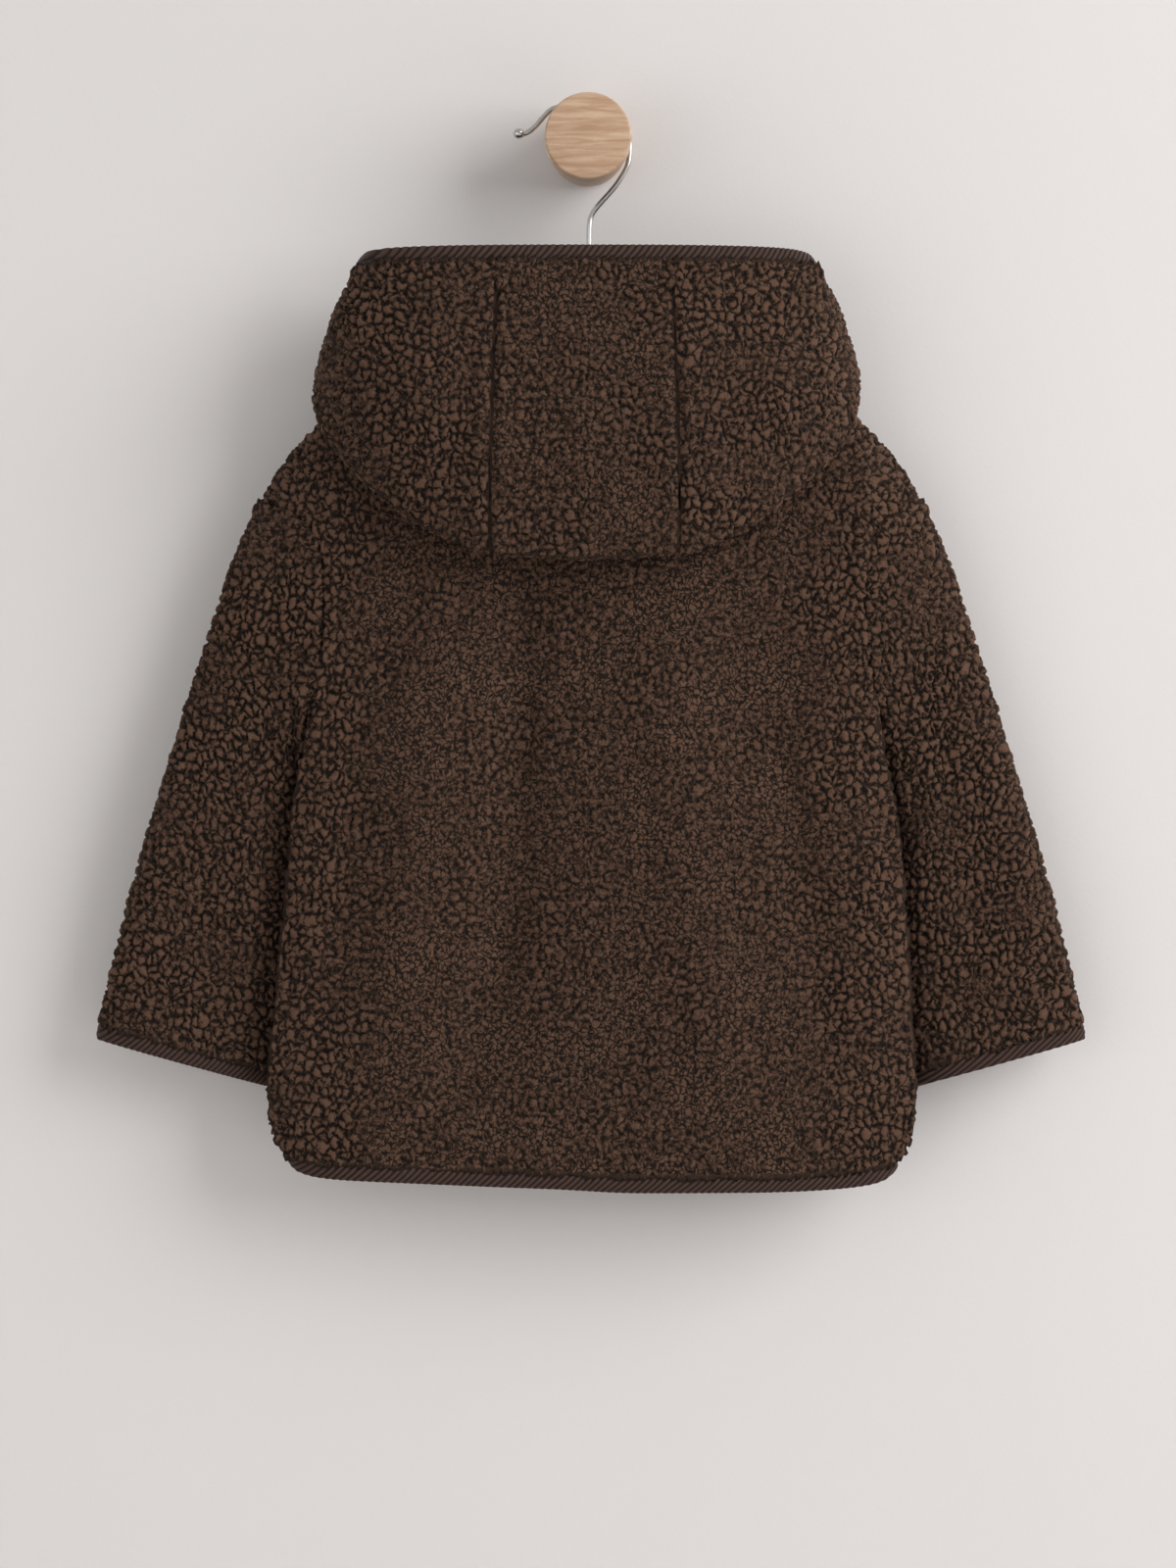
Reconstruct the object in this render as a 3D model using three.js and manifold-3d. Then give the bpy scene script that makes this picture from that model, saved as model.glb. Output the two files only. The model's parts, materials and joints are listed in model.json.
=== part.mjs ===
// A toddler's hooded jacket in curly pile fleece, hung by its hanger on a round wooden wall knob.
// Its back faces the viewer, its zip front faces the wall, and the hood hangs down the back as a pouch.
// Units are millimetres. +X is right as the back is seen, +Y goes into the wall and +Z is up.
// The origin is the centre of the knob's flat back face, which lies on the wall.

import * as THREE from 'three';
import Module from 'manifold-3d';
import { mergeVertices } from 'three/addons/utils/BufferGeometryUtils.js';

// Cloth: the wall is the knitted backing with its curly pile.
const WALL = 5;
const SEAM_PULL = 0.3;
const SAME_POINT = 0.02;
const HANG_SHIFT = 1.5;

// Depths of the body, from the plane through its side seams.
const MID_Y = -38;
const BACK_DEPTH = 29;
const FRONT_DEPTH = 25;
const BACK_POWER = 3.4;
const FRONT_POWER = 2.3;
const SHOULDER_ROUND = 45;

// Towards the wall the body narrows by this much on each side, so that the back's edges stand
// in front of the sleeves.
const TUCK = 34;
const TUCK_START_Y = -58;
const TUCK_TOP_Z = -235;
const TUCK_FULL_Z = -330;

// Heights and half widths of the body's main points.
const TIP = { x: 177, z: -193 };
const NECK = { x: 68, z: -112 };
const BACK_NECK_RISE = 4;
const FRONT_NECK_DROP = 18;
const NECK_CROWN = 20;
const HEM_SIDE_Z = -540;
const UNDERARM_ROW = 0.6134;

// Drop of the hem's cut edge below the side folds, at each share of the half width.
const HEM_LINE = [
  { share: -1, drop: 0 },
  { share: -0.95, drop: 2 },
  { share: -0.855, drop: 5.2 },
  { share: -0.6, drop: 7 },
  { share: -0.35, drop: 8.6 },
  { share: -0.1, drop: 10.3 },
  { share: 0.155, drop: 12.4 },
  { share: 0.53, drop: 12.2 },
  { share: 0.78, drop: 10.5 },
  { share: 0.905, drop: 7.4 },
  { share: 0.965, drop: 3.2 },
  { share: 1, drop: 0 },
];

// Body edge at each height: the armhole above the underarm, the side fold below it.
const SIDE = [
  { z: -540, left: 169, right: 171 },
  { z: -533, left: 174, right: 176 },
  { z: -522, left: 178, right: 179 },
  { z: -500, left: 178, right: 179 },
  { z: -470, left: 174.5, right: 177 },
  { z: -440, left: 171.5, right: 175 },
  { z: -404, left: 168, right: 173.5 },
  { z: -368, left: 165.5, right: 170 },
  { z: -335, left: 160, right: 162.5 },
  { z: -297, left: 150, right: 153 },
  { z: -256, left: 143, right: 147 },
  { z: -226, left: 143, right: 147 },
  { z: -205, left: 152, right: 155 },
  { z: -193, left: 177, right: 177 },
];

// How far the body form reaches past its cut edge, from the underarm up to the shoulder.
const BEYOND = [
  { z: -327.14, reach: 0 },
  { z: -318, reach: 2.4 },
  { z: -297, reach: 11.5 },
  { z: -256, reach: 23 },
  { z: -226, reach: 28 },
  { z: -205, reach: 22 },
  { z: -193, reach: 1 },
  { z: -100, reach: 5 },
];

// Shoulder line, from the neck point out to the shoulder tip.
const SHOULDER = [
  { x: 68, z: -112 },
  { x: 100, z: -126 },
  { x: 130, z: -141 },
  { x: 146, z: -151 },
  { x: 160, z: -167 },
  { x: 170, z: -181 },
  { x: 177, z: -193 },
];

// Soft folds: ridges rise and valleys sink, each along a line from its top to its foot.
const BACK_FOLDS = [
  { topX: -36, topZ: -215, footX: -52, footZ: -520, width: 21, rise: -6.5 },
  { topX: -70, topZ: -225, footX: -104, footZ: -500, width: 24, rise: 5 },
  { topX: 28, topZ: -235, footX: 62, footZ: -545, width: 34, rise: 4 },
  { topX: 90, topZ: -255, footX: 116, footZ: -500, width: 20, rise: -5 },
  { topX: 138, topZ: -165, footX: 139, footZ: -400, width: 13, rise: 3.5 },
  { topX: -112, topZ: -225, footX: -128, footZ: -400, width: 12, rise: -3 },
];
const FRONT_FOLDS = [
  { topX: -62, topZ: -180, footX: -78, footZ: -540, width: 22, rise: 3 },
  { topX: 60, topZ: -190, footX: 92, footZ: -540, width: 26, rise: 3 },
  { topX: 108, topZ: -210, footX: 118, footZ: -480, width: 16, rise: -3.5 },
  { topX: -104, topZ: -200, footX: -120, footZ: -470, width: 18, rise: -3.5 },
];
const FOLD_FADE = 45;

// Rows run from the hem up to the shoulder line, and are close where the cloth turns.
const ROWS = [0, 0.018, 0.055, 0.12, 0.2, 0.29, 0.38, 0.46, 0.545, UNDERARM_ROW,
  0.6744, 0.7304, 0.7813, 0.8271, 0.8698, 0.9085, 0.944, 0.9695, 0.9847, 0.9949, 1];
const NECK_COLUMNS = 6;
const SHOULDER_COLUMNS = 7;
const COLUMN_CROWDING = 2.4;

// Sleeve sections from armhole to cuff: the outer and inner guide points and the half depth.
const SLEEVE = [
  { at: 0, outX: 177, outZ: -193, outY: -38, inset: 10, inZ: -328, inY: -38, depth: 15 },
  { at: 0.08, outX: 183, outZ: -205, outY: -38, inset: 8.5, inZ: -338, inY: -36, depth: 15 },
  { at: 0.18, outX: 191.5, outZ: -225, outY: -37, inset: 7.5, inZ: -354, inY: -32, depth: 15.5 },
  { at: 0.35, outX: 206, outZ: -268, outY: -35, inset: 8, inZ: -382, inY: -28, depth: 16 },
  { at: 0.55, outX: 222, outZ: -320, outY: -34, inset: 8.5, inZ: -417, inY: -26, depth: 16 },
  { at: 0.78, outX: 243, outZ: -388, outY: -33, inset: 8.5, inZ: -460, inY: -25, depth: 15.5 },
  { at: 1, outX: 264, outZ: -472, outY: -31, inset: 8, inZ: -498, inY: -25, depth: 14.5 },
];
const SLEEVE_POWER = 2.3;
const SLEEVE_RINGS = [0, 0.06, 0.13, 0.21, 0.3, 0.4, 0.51, 0.62, 0.73, 0.84, 0.94, 1];
const ARMHOLE_REACH = 0.5;
const SLEEVE_FOLDS = [
  { at: 0.3, turn: 0.2, length: 0.09, spread: 0.13, rise: -3 },
  { at: 0.55, turn: 0.32, length: 0.12, spread: 0.1, rise: 2.5 },
  { at: 0.82, turn: 0.3, length: 0.08, spread: 0.12, rise: -4 },
  { at: 0.45, turn: 0.72, length: 0.1, spread: 0.12, rise: -3 },
  { at: 0.75, turn: 0.68, length: 0.12, spread: 0.1, rise: 2.5 },
];

// Hood sections, counted in columns round the neck from centre back to centre front.
// Each runs up from the neck seam, rolls over, falls to the fold and comes up to the rim.
const HOOD = [
  { column: 0, stand: 7, roll: 6, legX: 0, legY: -74, legZ: -165, foldX: 0, foldY: -89, foldZ: -227.5,
    bellyX: 0, bellyY: -111, bellyZ: -164, rimX: 0, rimY: -99, rimZ: -70 },
  { column: 3, stand: 7, roll: 6, legX: 42, legY: -74, legZ: -165, foldX: 49, foldY: -88, foldZ: -224.5,
    bellyX: 49, bellyY: -110, bellyZ: -162, rimX: 46, rimY: -98, rimZ: -70 },
  { column: 4, stand: 7, roll: 6, legX: 63, legY: -74, legZ: -160, foldX: 77, foldY: -86, foldZ: -214,
    bellyX: 78, bellyY: -106.3, bellyZ: -154, rimX: 70, rimY: -95.4, rimZ: -70 },
  { column: 5, stand: 8, roll: 6, legX: 83, legY: -72, legZ: -152, foldX: 102, foldY: -82, foldZ: -198,
    bellyX: 103, bellyY: -99, bellyZ: -144, rimX: 91, rimY: -90, rimZ: -70 },
  { column: 6, stand: 10, roll: 6, legX: 100, legY: -67, legZ: -140, foldX: 124.5, foldY: -75, foldZ: -178,
    bellyX: 124, bellyY: -88, bellyZ: -128, rimX: 110, rimY: -82, rimZ: -70 },
  { column: 7, stand: 13, roll: 5.5, legX: 109, legY: -57, legZ: -127, foldX: 140, foldY: -64, foldZ: -158,
    bellyX: 133, bellyY: -73, bellyZ: -104, rimX: 122, rimY: -70, rimZ: -71 },
  { column: 8, stand: 16, roll: 5, legX: 105, legY: -46, legZ: -116, foldX: 144, foldY: -50, foldZ: -141,
    bellyX: 134.5, bellyY: -55, bellyZ: -93, rimX: 125, rimY: -55, rimZ: -73 },
  { column: 9, stand: 16, roll: 4.5, legX: 90, legY: -36, legZ: -109, foldX: 125, foldY: -39, foldZ: -123,
    bellyX: 126, bellyY: -42, bellyZ: -98, rimX: 116, rimY: -42, rimZ: -77.5 },
  { column: 10, stand: 14, roll: 3.5, legX: 70, legY: -28, legZ: -107, foldX: 99, foldY: -31, foldZ: -110,
    bellyX: 104, bellyY: -33, bellyZ: -97, rimX: 97, rimY: -32, rimZ: -83 },
  { column: 11, stand: 10, roll: 2.5, legX: 46, legY: -21, legZ: -110, foldX: 67, foldY: -23, foldZ: -108,
    bellyX: 73, bellyY: -24, bellyZ: -99, rimX: 71, rimY: -24, rimZ: -90 },
  { column: 13, stand: 1.6, roll: 0.5, legX: 7.4, legY: -13, legZ: -126, foldX: 8.6, foldY: -12.8,
    foldZ: -122, bellyX: 10, bellyY: -12.6, bellyZ: -117, rimX: 11.5, rimY: -12.6, rimZ: -112 },
];
const HOOD_SHIFT = [
  { column: 0, x: -3.5 }, { column: 6, x: -3 }, { column: 8, x: -1.8 }, { column: 11, x: 0 },
];
const CREST_SHARE = 0.8;
const STRIP_COLUMNS = 3;
const HOOD_SPAN_ROWS = [1, 2, 2, 3, 3, 1, 1, 3, 4];
// The cloth turns round the fold through places this far up its arms and as far to either side.
const FOLD_ROUND = { reach: 6 };
const FOLD_PLACE = 6;
// Column of a hood side from which it is bunched up in front of the shoulder, how far that part is
// lifted off the neck seam, and how far merged surfaces may be simplified.
const BUNCH_START = 4;
const BUNCH_LIFT = 0.2;
const MERGE_SLACK = 0.03;
// Columns between which the roll over the neck flattens out, and where its places then lie.
const ROLL_END = { first: 8, last: 10.5, shares: [0.3, 0.62] };

// Binding on the hood's rim, the cuffs and the hem.
const BINDING_WIDTH = 8;
const BINDING_THICK = 5.6;
const BINDING_GAP = 0.7;
const BINDING_PROFILE = [{ out: 0, half: 0.82 }, { out: 0.5, half: 1 }, { out: 1, half: 0.55 }];

// Zip down the centre front.
const ZIP_HALF = 6;
const TAPE = { inner: 3, outer: 16, thick: 1, gap: 0.4, top: -133, foot: -552 };
const CHAIN = { half: 2.6, thick: 3, top: -134, foot: -543 };
const ZIP_BOX = { gap: 0.3, thick: 4.2, foot: -552.5 };
const SLIDER = {
  half: 4.5, thick: 2.4, top: -134.2, foot: -145.2, gap: 0.3,
  topHalf: 2.7, topDrop: 2, footHalf: 3.15, footRise: 3,
};
const BRIDGE = { half: 0.8, thick: 1, post: 1.2, openHigh: 6.8, openDeep: 2.6, root: 0.5 };
const TAB = { half: 2.8, lowHalf: 2.2, lowRise: 2, arm: 1.4, thick: 1.4, eye: 5.8, bar: 1.2, long: 25 };

// Hanger and wall knob.
const HOOK_Y = -38;
const WIRE = { radius: 1.5, sides: 8 };
const BALL = { radius: 3.2, from: 14.4, to: 151.2, steps: 5 };
const KNOB = { head: 23.1, neck: 20.6, depth: 62, headDepth: 17, round: 1.2, sides: 32 };
const HOOK_ARC = { radius: 22.4, from: 125, to: -6, steps: 12 };
const HOOK_START = [[-37, 3.8], [-33.4, 3.8], [-30.6, 5.3], [-27.2, 8.7], [-23.2, 13.5], [-19.2, 17.5]];
const HOOK_END = [[22.3, -11.5], [19.5, -17.2], [14.9, -24.6], [9.2, -30.8], [3.5, -37.1], [1.3, -41],
  [0.6, -45.6], [0.6, -55.3], [0.6, -80], [0.6, -106.2]];
const BAR = { thick: 9, high: 15, clear: 1.6, tip: 5, tipSize: 0.5, sides: 10 };
const BAR_NECK = [{ x: 0, z: -114 }, { x: 26, z: -116 }, { x: 50, z: -122 }];
const BAR_ARM = [72, 88, 104, 118, 129];

// Corners of a cut or joined piece are merged within this distance.
const WELD = 1e-4;

const FLEECE = { color: 0x46372c, roughness: 0.95, metalness: 0 };
const TRIM = { color: 0x32231d, roughness: 0.85, metalness: 0 };
const TEETH = { color: 0x2c221d, roughness: 0.5, metalness: 0 };
const STEEL = { color: 0xc9c9c7, roughness: 0.25, metalness: 1 };
const WOOD = { color: 0xd9bd97, roughness: 0.6, metalness: 0 };

// Smooth value of one column of a table at a place between its rows, with no overshoot.
function column(table, key, at, name) {
  const count = table.length;
  const step = table[1][key] > table[0][key] ? 1 : -1;
  const place = step * at;
  const keys = table.map((row) => step * row[key]);
  if (place <= keys[0]) return table[0][name];
  if (place >= keys[count - 1]) return table[count - 1][name];
  const slopes = [];
  for (let i = 0; i < count - 1; i += 1) {
    slopes.push((table[i + 1][name] - table[i][name]) / (keys[i + 1] - keys[i]));
  }
  const tangent = (i) => {
    if (i === 0) return slopes[0];
    if (i === count - 1) return slopes[count - 2];
    if (slopes[i - 1] * slopes[i] <= 0) return 0;
    return 2 * slopes[i - 1] * slopes[i] / (slopes[i - 1] + slopes[i]);
  };
  const low = keys.findIndex((value, i) => place < keys[i + 1]);
  const width = keys[low + 1] - keys[low];
  const f = (place - keys[low]) / width;
  const f2 = f * f;
  const f3 = f2 * f;
  return table[low][name] * (2 * f3 - 3 * f2 + 1) + tangent(low) * width * (f3 - 2 * f2 + f)
    + table[low + 1][name] * (3 * f2 - 2 * f3) + tangent(low + 1) * width * (f3 - f2);
}

// Soft step from 0 at the first place to 1 at the last, whichever of them is higher.
function smooth(first, last, value) {
  const f = THREE.MathUtils.clamp((value - first) / (last - first), 0, 1);
  return f * f * (3 - 2 * f);
}

// Sum of the soft folds at a place on a panel.
function foldRise(folds, x, z) {
  let rise = 0;
  for (const fold of folds) {
    const down = (fold.topZ - z) / (fold.topZ - fold.footZ);
    const centre = fold.topX + (fold.footX - fold.topX) * THREE.MathUtils.clamp(down, -0.2, 1.2);
    const across = (x - centre) / fold.width;
    const ends = smooth(-FOLD_FADE, FOLD_FADE, fold.topZ - z) * smooth(-FOLD_FADE, FOLD_FADE, z - fold.footZ);
    rise += fold.rise * Math.exp(-across * across) * ends;
  }
  return rise;
}

// Height of the shoulder line, carried on over the neck as a low crown.
function shoulderZ(x) {
  const away = Math.abs(x);
  if (away >= NECK.x) return column(SHOULDER, 'x', away, 'z');
  return NECK.z + NECK_CROWN * (1 - (away / NECK.x) ** 2);
}

// Half width of the form that the body's back and front are bent over.
function formHalf(z, side) {
  return column(SIDE, 'z', z, side) + column(BEYOND, 'z', z, 'reach');
}

// One point of the body's outer surface. Face is -1 on the back and 1 on the front.
function bodyPoint(face, fraction, row) {
  const side = fraction < 0 ? 'left' : 'right';
  const sideZ = HEM_SIDE_Z + (TIP.z - HEM_SIDE_Z) * row;
  const edge = column(SIDE, 'z', sideZ, side);
  const share = Math.abs(fraction);
  const away = edge * share;
  const topX = TIP.x * share;
  let topZ = shoulderZ(topX);
  if (topX < NECK.x) {
    const middle = 1 - (topX / NECK.x) ** 2;
    topZ = NECK.z + (face < 0 ? BACK_NECK_RISE : -FRONT_NECK_DROP) * middle;
  }
  const hemZ = HEM_SIDE_Z - column(HEM_LINE, 'share', fraction, 'drop');
  const z = hemZ + (topZ - hemZ) * row;
  const half = Math.max(formHalf(z, side), away);
  const power = face < 0 ? BACK_POWER : FRONT_POWER;
  const reach = Math.max(0, 1 - (away / half) ** power) ** (1 / power);
  const below = THREE.MathUtils.clamp((shoulderZ(away) - z) / SHOULDER_ROUND, 0, 1);
  const lift = Math.sqrt(1 - (1 - below) ** 2);
  const sign = fraction < 0 ? -1 : 1;
  const folds = face < 0 ? BACK_FOLDS : FRONT_FOLDS;
  const depth = (face < 0 ? BACK_DEPTH : FRONT_DEPTH) * reach * lift;
  const relief = foldRise(folds, sign * away, z) * reach * lift;
  const y = MID_Y + face * (depth + relief);
  const tucked = TUCK * smooth(TUCK_TOP_Z, TUCK_FULL_Z, z) * smooth(TUCK_START_Y, MID_Y + FRONT_DEPTH, y);
  return new THREE.Vector3(sign * (away - tucked * (away / half)), y, z);
}

// Fractions of the half width at each column, from the centre out to the side.
function columnFractions() {
  const neck = NECK.x / TIP.x;
  const list = [];
  for (let i = 0; i < NECK_COLUMNS; i += 1) list.push(neck * i / NECK_COLUMNS);
  for (let i = 0; i <= SHOULDER_COLUMNS; i += 1) {
    list.push(neck + (1 - neck) * (1 - (1 - i / SHOULDER_COLUMNS) ** COLUMN_CROWDING));
  }
  return list;
}

// A panel is a grid of outer points. Turn is 1 when rows cross columns points outwards.
function makePanel(name, grid, turn, closed = false) {
  return { name, grid, turn, closed, normals: gridNormals(grid, turn, closed) };
}

function gridNormals(grid, turn, closed) {
  const rows = grid.length;
  const columns = grid[0].length;
  const along = new THREE.Vector3();
  const across = new THREE.Vector3();
  return grid.map((line, r) => line.map((point, c) => {
    const before = closed ? (c + columns - 1) % columns : Math.max(c - 1, 0);
    const after = closed ? (c + 1) % columns : Math.min(c + 1, columns - 1);
    along.subVectors(grid[Math.min(r + 1, rows - 1)][c], grid[Math.max(r - 1, 0)][c]);
    across.subVectors(line[after], line[before]);
    return new THREE.Vector3().crossVectors(across, along).multiplyScalar(turn).normalize();
  }));
}

// Panels that share a seam point share its normal too, so their cut edges lie face to face.
function shareSeamNormals(panels) {
  const sums = new Map();
  const keyOf = (p) => [p.x, p.y, p.z].map((value) => Math.round(value / SAME_POINT)).join(' ');
  const eachEdge = (panel, visit) => {
    panel.grid.forEach((line, r) => line.forEach((point, c) => {
      const sideEdge = !panel.closed && (c === 0 || c === line.length - 1);
      if (r === 0 || r === panel.grid.length - 1 || sideEdge) visit(point, panel.normals[r][c]);
    }));
  };
  for (const panel of panels) {
    eachEdge(panel, (point, normal) => {
      const key = keyOf(point);
      if (!sums.has(key)) sums.set(key, new THREE.Vector3());
      sums.get(key).add(normal);
    });
  }
  for (const panel of panels) {
    eachEdge(panel, (point, normal) => normal.copy(sums.get(keyOf(point))).normalize());
  }
}

// Outer points with each edge drawn back from its seam.
function pulledGrid(panel, grid) {
  const rows = grid.length;
  const columns = grid[0].length;
  return grid.map((line, r) => line.map((point, c) => {
    const moved = point.clone();
    const toward = (other) => {
      moved.addScaledVector(new THREE.Vector3().subVectors(other, point).normalize(), SEAM_PULL);
    };
    if (r === 0) toward(grid[1][c]);
    if (r === rows - 1) toward(grid[rows - 2][c]);
    if (!panel.closed && c === 0) toward(line[1]);
    if (!panel.closed && c === columns - 1) toward(line[columns - 2]);
    return moved;
  }));
}

// The outer and inner grids of a panel's wall, as sewn and with their edges drawn back.
function wallGrids(panel) {
  const inner = panel.grid.map((line, r) => line.map(
    (point, c) => point.clone().addScaledVector(panel.normals[r][c], -WALL)));
  return {
    sewn: [panel.grid, inner],
    pulled: [pulledGrid(panel, panel.grid), pulledGrid(panel, inner)],
    closed: panel.closed,
  };
}

// The closed solid of a panel: outer grid, inner grid and the edges between them.
function panelGeometry(panel) {
  return wallGeometry(wallGrids(panel));
}

// A panel whose front end is bunched up on itself: its grid runs to the given column, and from there
// on each cell is a convex block, so the layers that touch each other merge into one solid.
function bunchedGeometry(wasm, panel, from) {
  const walls = wallGrids(panel);
  const cut = (grids) => grids.map((grid) => grid.map((line) => line.slice(0, from + 1)));
  const plain = wallGeometry({ sewn: cut(walls.sewn), pulled: cut(walls.pulled), closed: false });
  const [outer, inner] = walls.pulled.map((grid) => [
    grid[0].map((point) => point.clone().setZ(point.z + BUNCH_LIFT)), ...grid.slice(1)]);
  const blocks = [];
  for (let r = 0; r < outer.length - 1; r += 1) {
    for (let c = from; c < outer[0].length - 1; c += 1) {
      const corners = [outer, inner].flatMap(
        (grid) => [grid[r][c], grid[r][c + 1], grid[r + 1][c], grid[r + 1][c + 1]]);
      blocks.push(wasm.Manifold.hull(corners.map((point) => point.toArray())));
    }
  }
  return mergedGeometry(wasm, [solidOf(wasm, plain), ...blocks]);
}

function wallGeometry({ sewn, pulled, closed }) {
  const [outerGrid, innerGrid] = pulled;
  const rows = outerGrid.length;
  const columns = outerGrid[0].length;
  const points = [...outerGrid.flat(), ...innerGrid.flat()];
  const offset = rows * columns;
  const faces = [];
  const quad = (a, b, c, d) => faces.push([a, b, c], [a, c, d]);
  const seamPoints = sewn.flat(2);
  const rimQuad = (a, b, c, d) => {
    const straight = seamPoints[a].distanceTo(seamPoints[c]) < seamPoints[b].distanceTo(seamPoints[d]);
    if (straight) quad(a, b, c, d);
    else quad(b, c, d, a);
  };
  const lastColumn = closed ? columns : columns - 1;
  for (let c = 0; c < lastColumn; c += 1) {
    const n = (c + 1) % columns;
    for (let r = 0; r < rows - 1; r += 1) {
      const a = r * columns;
      const b = a + columns;
      quad(a + c, a + n, b + n, b + c);
      quad(offset + a + c, offset + b + c, offset + b + n, offset + a + n);
    }
    const top = (rows - 1) * columns;
    rimQuad(offset + c, offset + n, n, c);
    rimQuad(top + c, top + n, offset + top + n, offset + top + c);
  }
  if (!closed) {
    for (let r = 0; r < rows - 1; r += 1) {
      const a = r * columns;
      const b = a + columns;
      const e = columns - 1;
      rimQuad(offset + a, a, b, offset + b);
      rimQuad(a + e, offset + a + e, offset + b + e, b + e);
    }
  }
  return solidGeometry(points, faces);
}

// A geometry from points and triangles, turned so that its faces point out.
function solidGeometry(points, faces) {
  let volume = 0;
  const cross = new THREE.Vector3();
  for (const [a, b, c] of faces) {
    volume += cross.crossVectors(points[a], points[b]).dot(points[c]);
  }
  const order = volume > 0 ? faces : faces.map(([a, b, c]) => [a, c, b]);
  const geometry = new THREE.BufferGeometry();
  const position = points.flatMap((point) => point.toArray());
  geometry.setAttribute('position', new THREE.Float32BufferAttribute(position, 3));
  geometry.setIndex(order.flat());
  geometry.computeVertexNormals();
  return geometry;
}

// A solid through a row of rings with the same number of points, closed end to end or capped.
function ringGeometry(rings, closed) {
  const sides = rings[0].length;
  const points = rings.flat();
  const faces = [];
  const last = closed ? rings.length : rings.length - 1;
  for (let r = 0; r < last; r += 1) {
    const a = r * sides;
    const b = ((r + 1) % rings.length) * sides;
    for (let s = 0; s < sides; s += 1) {
      const n = (s + 1) % sides;
      faces.push([a + s, a + n, b + n], [a + s, b + n, b + s]);
    }
  }
  if (!closed) {
    const end = (rings.length - 1) * sides;
    for (let s = 1; s < sides - 1; s += 1) {
      faces.push([0, s + 1, s], [end, end + s, end + s + 1]);
    }
  }
  return solidGeometry(points, faces);
}

// Rounded strip that carries on past a cloth edge. Each place has a point, a normal and a way out.
function bindingGeometry(places, closed) {
  const outside = BINDING_PROFILE.map(({ out, half }) => [BINDING_GAP + out * BINDING_WIDTH, half]);
  const profile = [...outside, ...outside.map(([out, half]) => [out, -half]).reverse()];
  const count = places.length;
  const rings = places.map(({ point, normal, away }, i) => {
    const before = places[closed ? (i + count - 1) % count : Math.max(i - 1, 0)].point;
    const after = places[closed ? (i + 1) % count : Math.min(i + 1, count - 1)].point;
    const along = new THREE.Vector3().subVectors(after, before);
    const side = new THREE.Vector3().crossVectors(along, normal).normalize();
    if (side.dot(away) < 0) side.negate();
    const heart = point.clone().addScaledVector(normal, -WALL / 2);
    return profile.map(([out, half]) => heart.clone().addScaledVector(side, out)
      .addScaledVector(normal, half * BINDING_THICK / 2));
  });
  return ringGeometry(rings, closed);
}

// Places along the first or last row of a panel, for its binding.
function edgePlaces(panel, last) {
  const rows = panel.grid.length;
  const edge = last ? rows - 1 : 0;
  const next = last ? rows - 2 : 1;
  return panel.grid[edge].map((point, c) => ({
    point,
    normal: panel.normals[edge][c],
    away: new THREE.Vector3().subVectors(point, panel.grid[next][c]).normalize(),
  }));
}

function backPanel() {
  const half = columnFractions();
  const fractions = [...half.slice(1).reverse().map((value) => -value), ...half];
  const grid = ROWS.map((row) => fractions.map((fraction) => bodyPoint(-1, fraction, row)));
  return makePanel('back', grid, 1);
}

// Side is -1 on the left as the back is seen and 1 on the right. Columns run from the zip to the side.
function frontPanel(side) {
  const grid = ROWS.map((row) => {
    const sideZ = HEM_SIDE_Z + (TIP.z - HEM_SIDE_Z) * row;
    const edge = column(SIDE, 'z', sideZ, side < 0 ? 'left' : 'right');
    const seamLine = columnFractions().slice(NECK_COLUMNS);
    const neckLine = [];
    for (let i = 0; i <= NECK_COLUMNS; i += 1) {
      const start = ZIP_HALF / edge;
      neckLine.push(start + (seamLine[0] - start) * i / (NECK_COLUMNS + 1));
    }
    return [...neckLine, ...seamLine].map((fraction) => bodyPoint(1, side * fraction, row));
  });
  return makePanel(side < 0 ? 'front_left' : 'front_right', grid, side < 0 ? 1 : -1);
}

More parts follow.
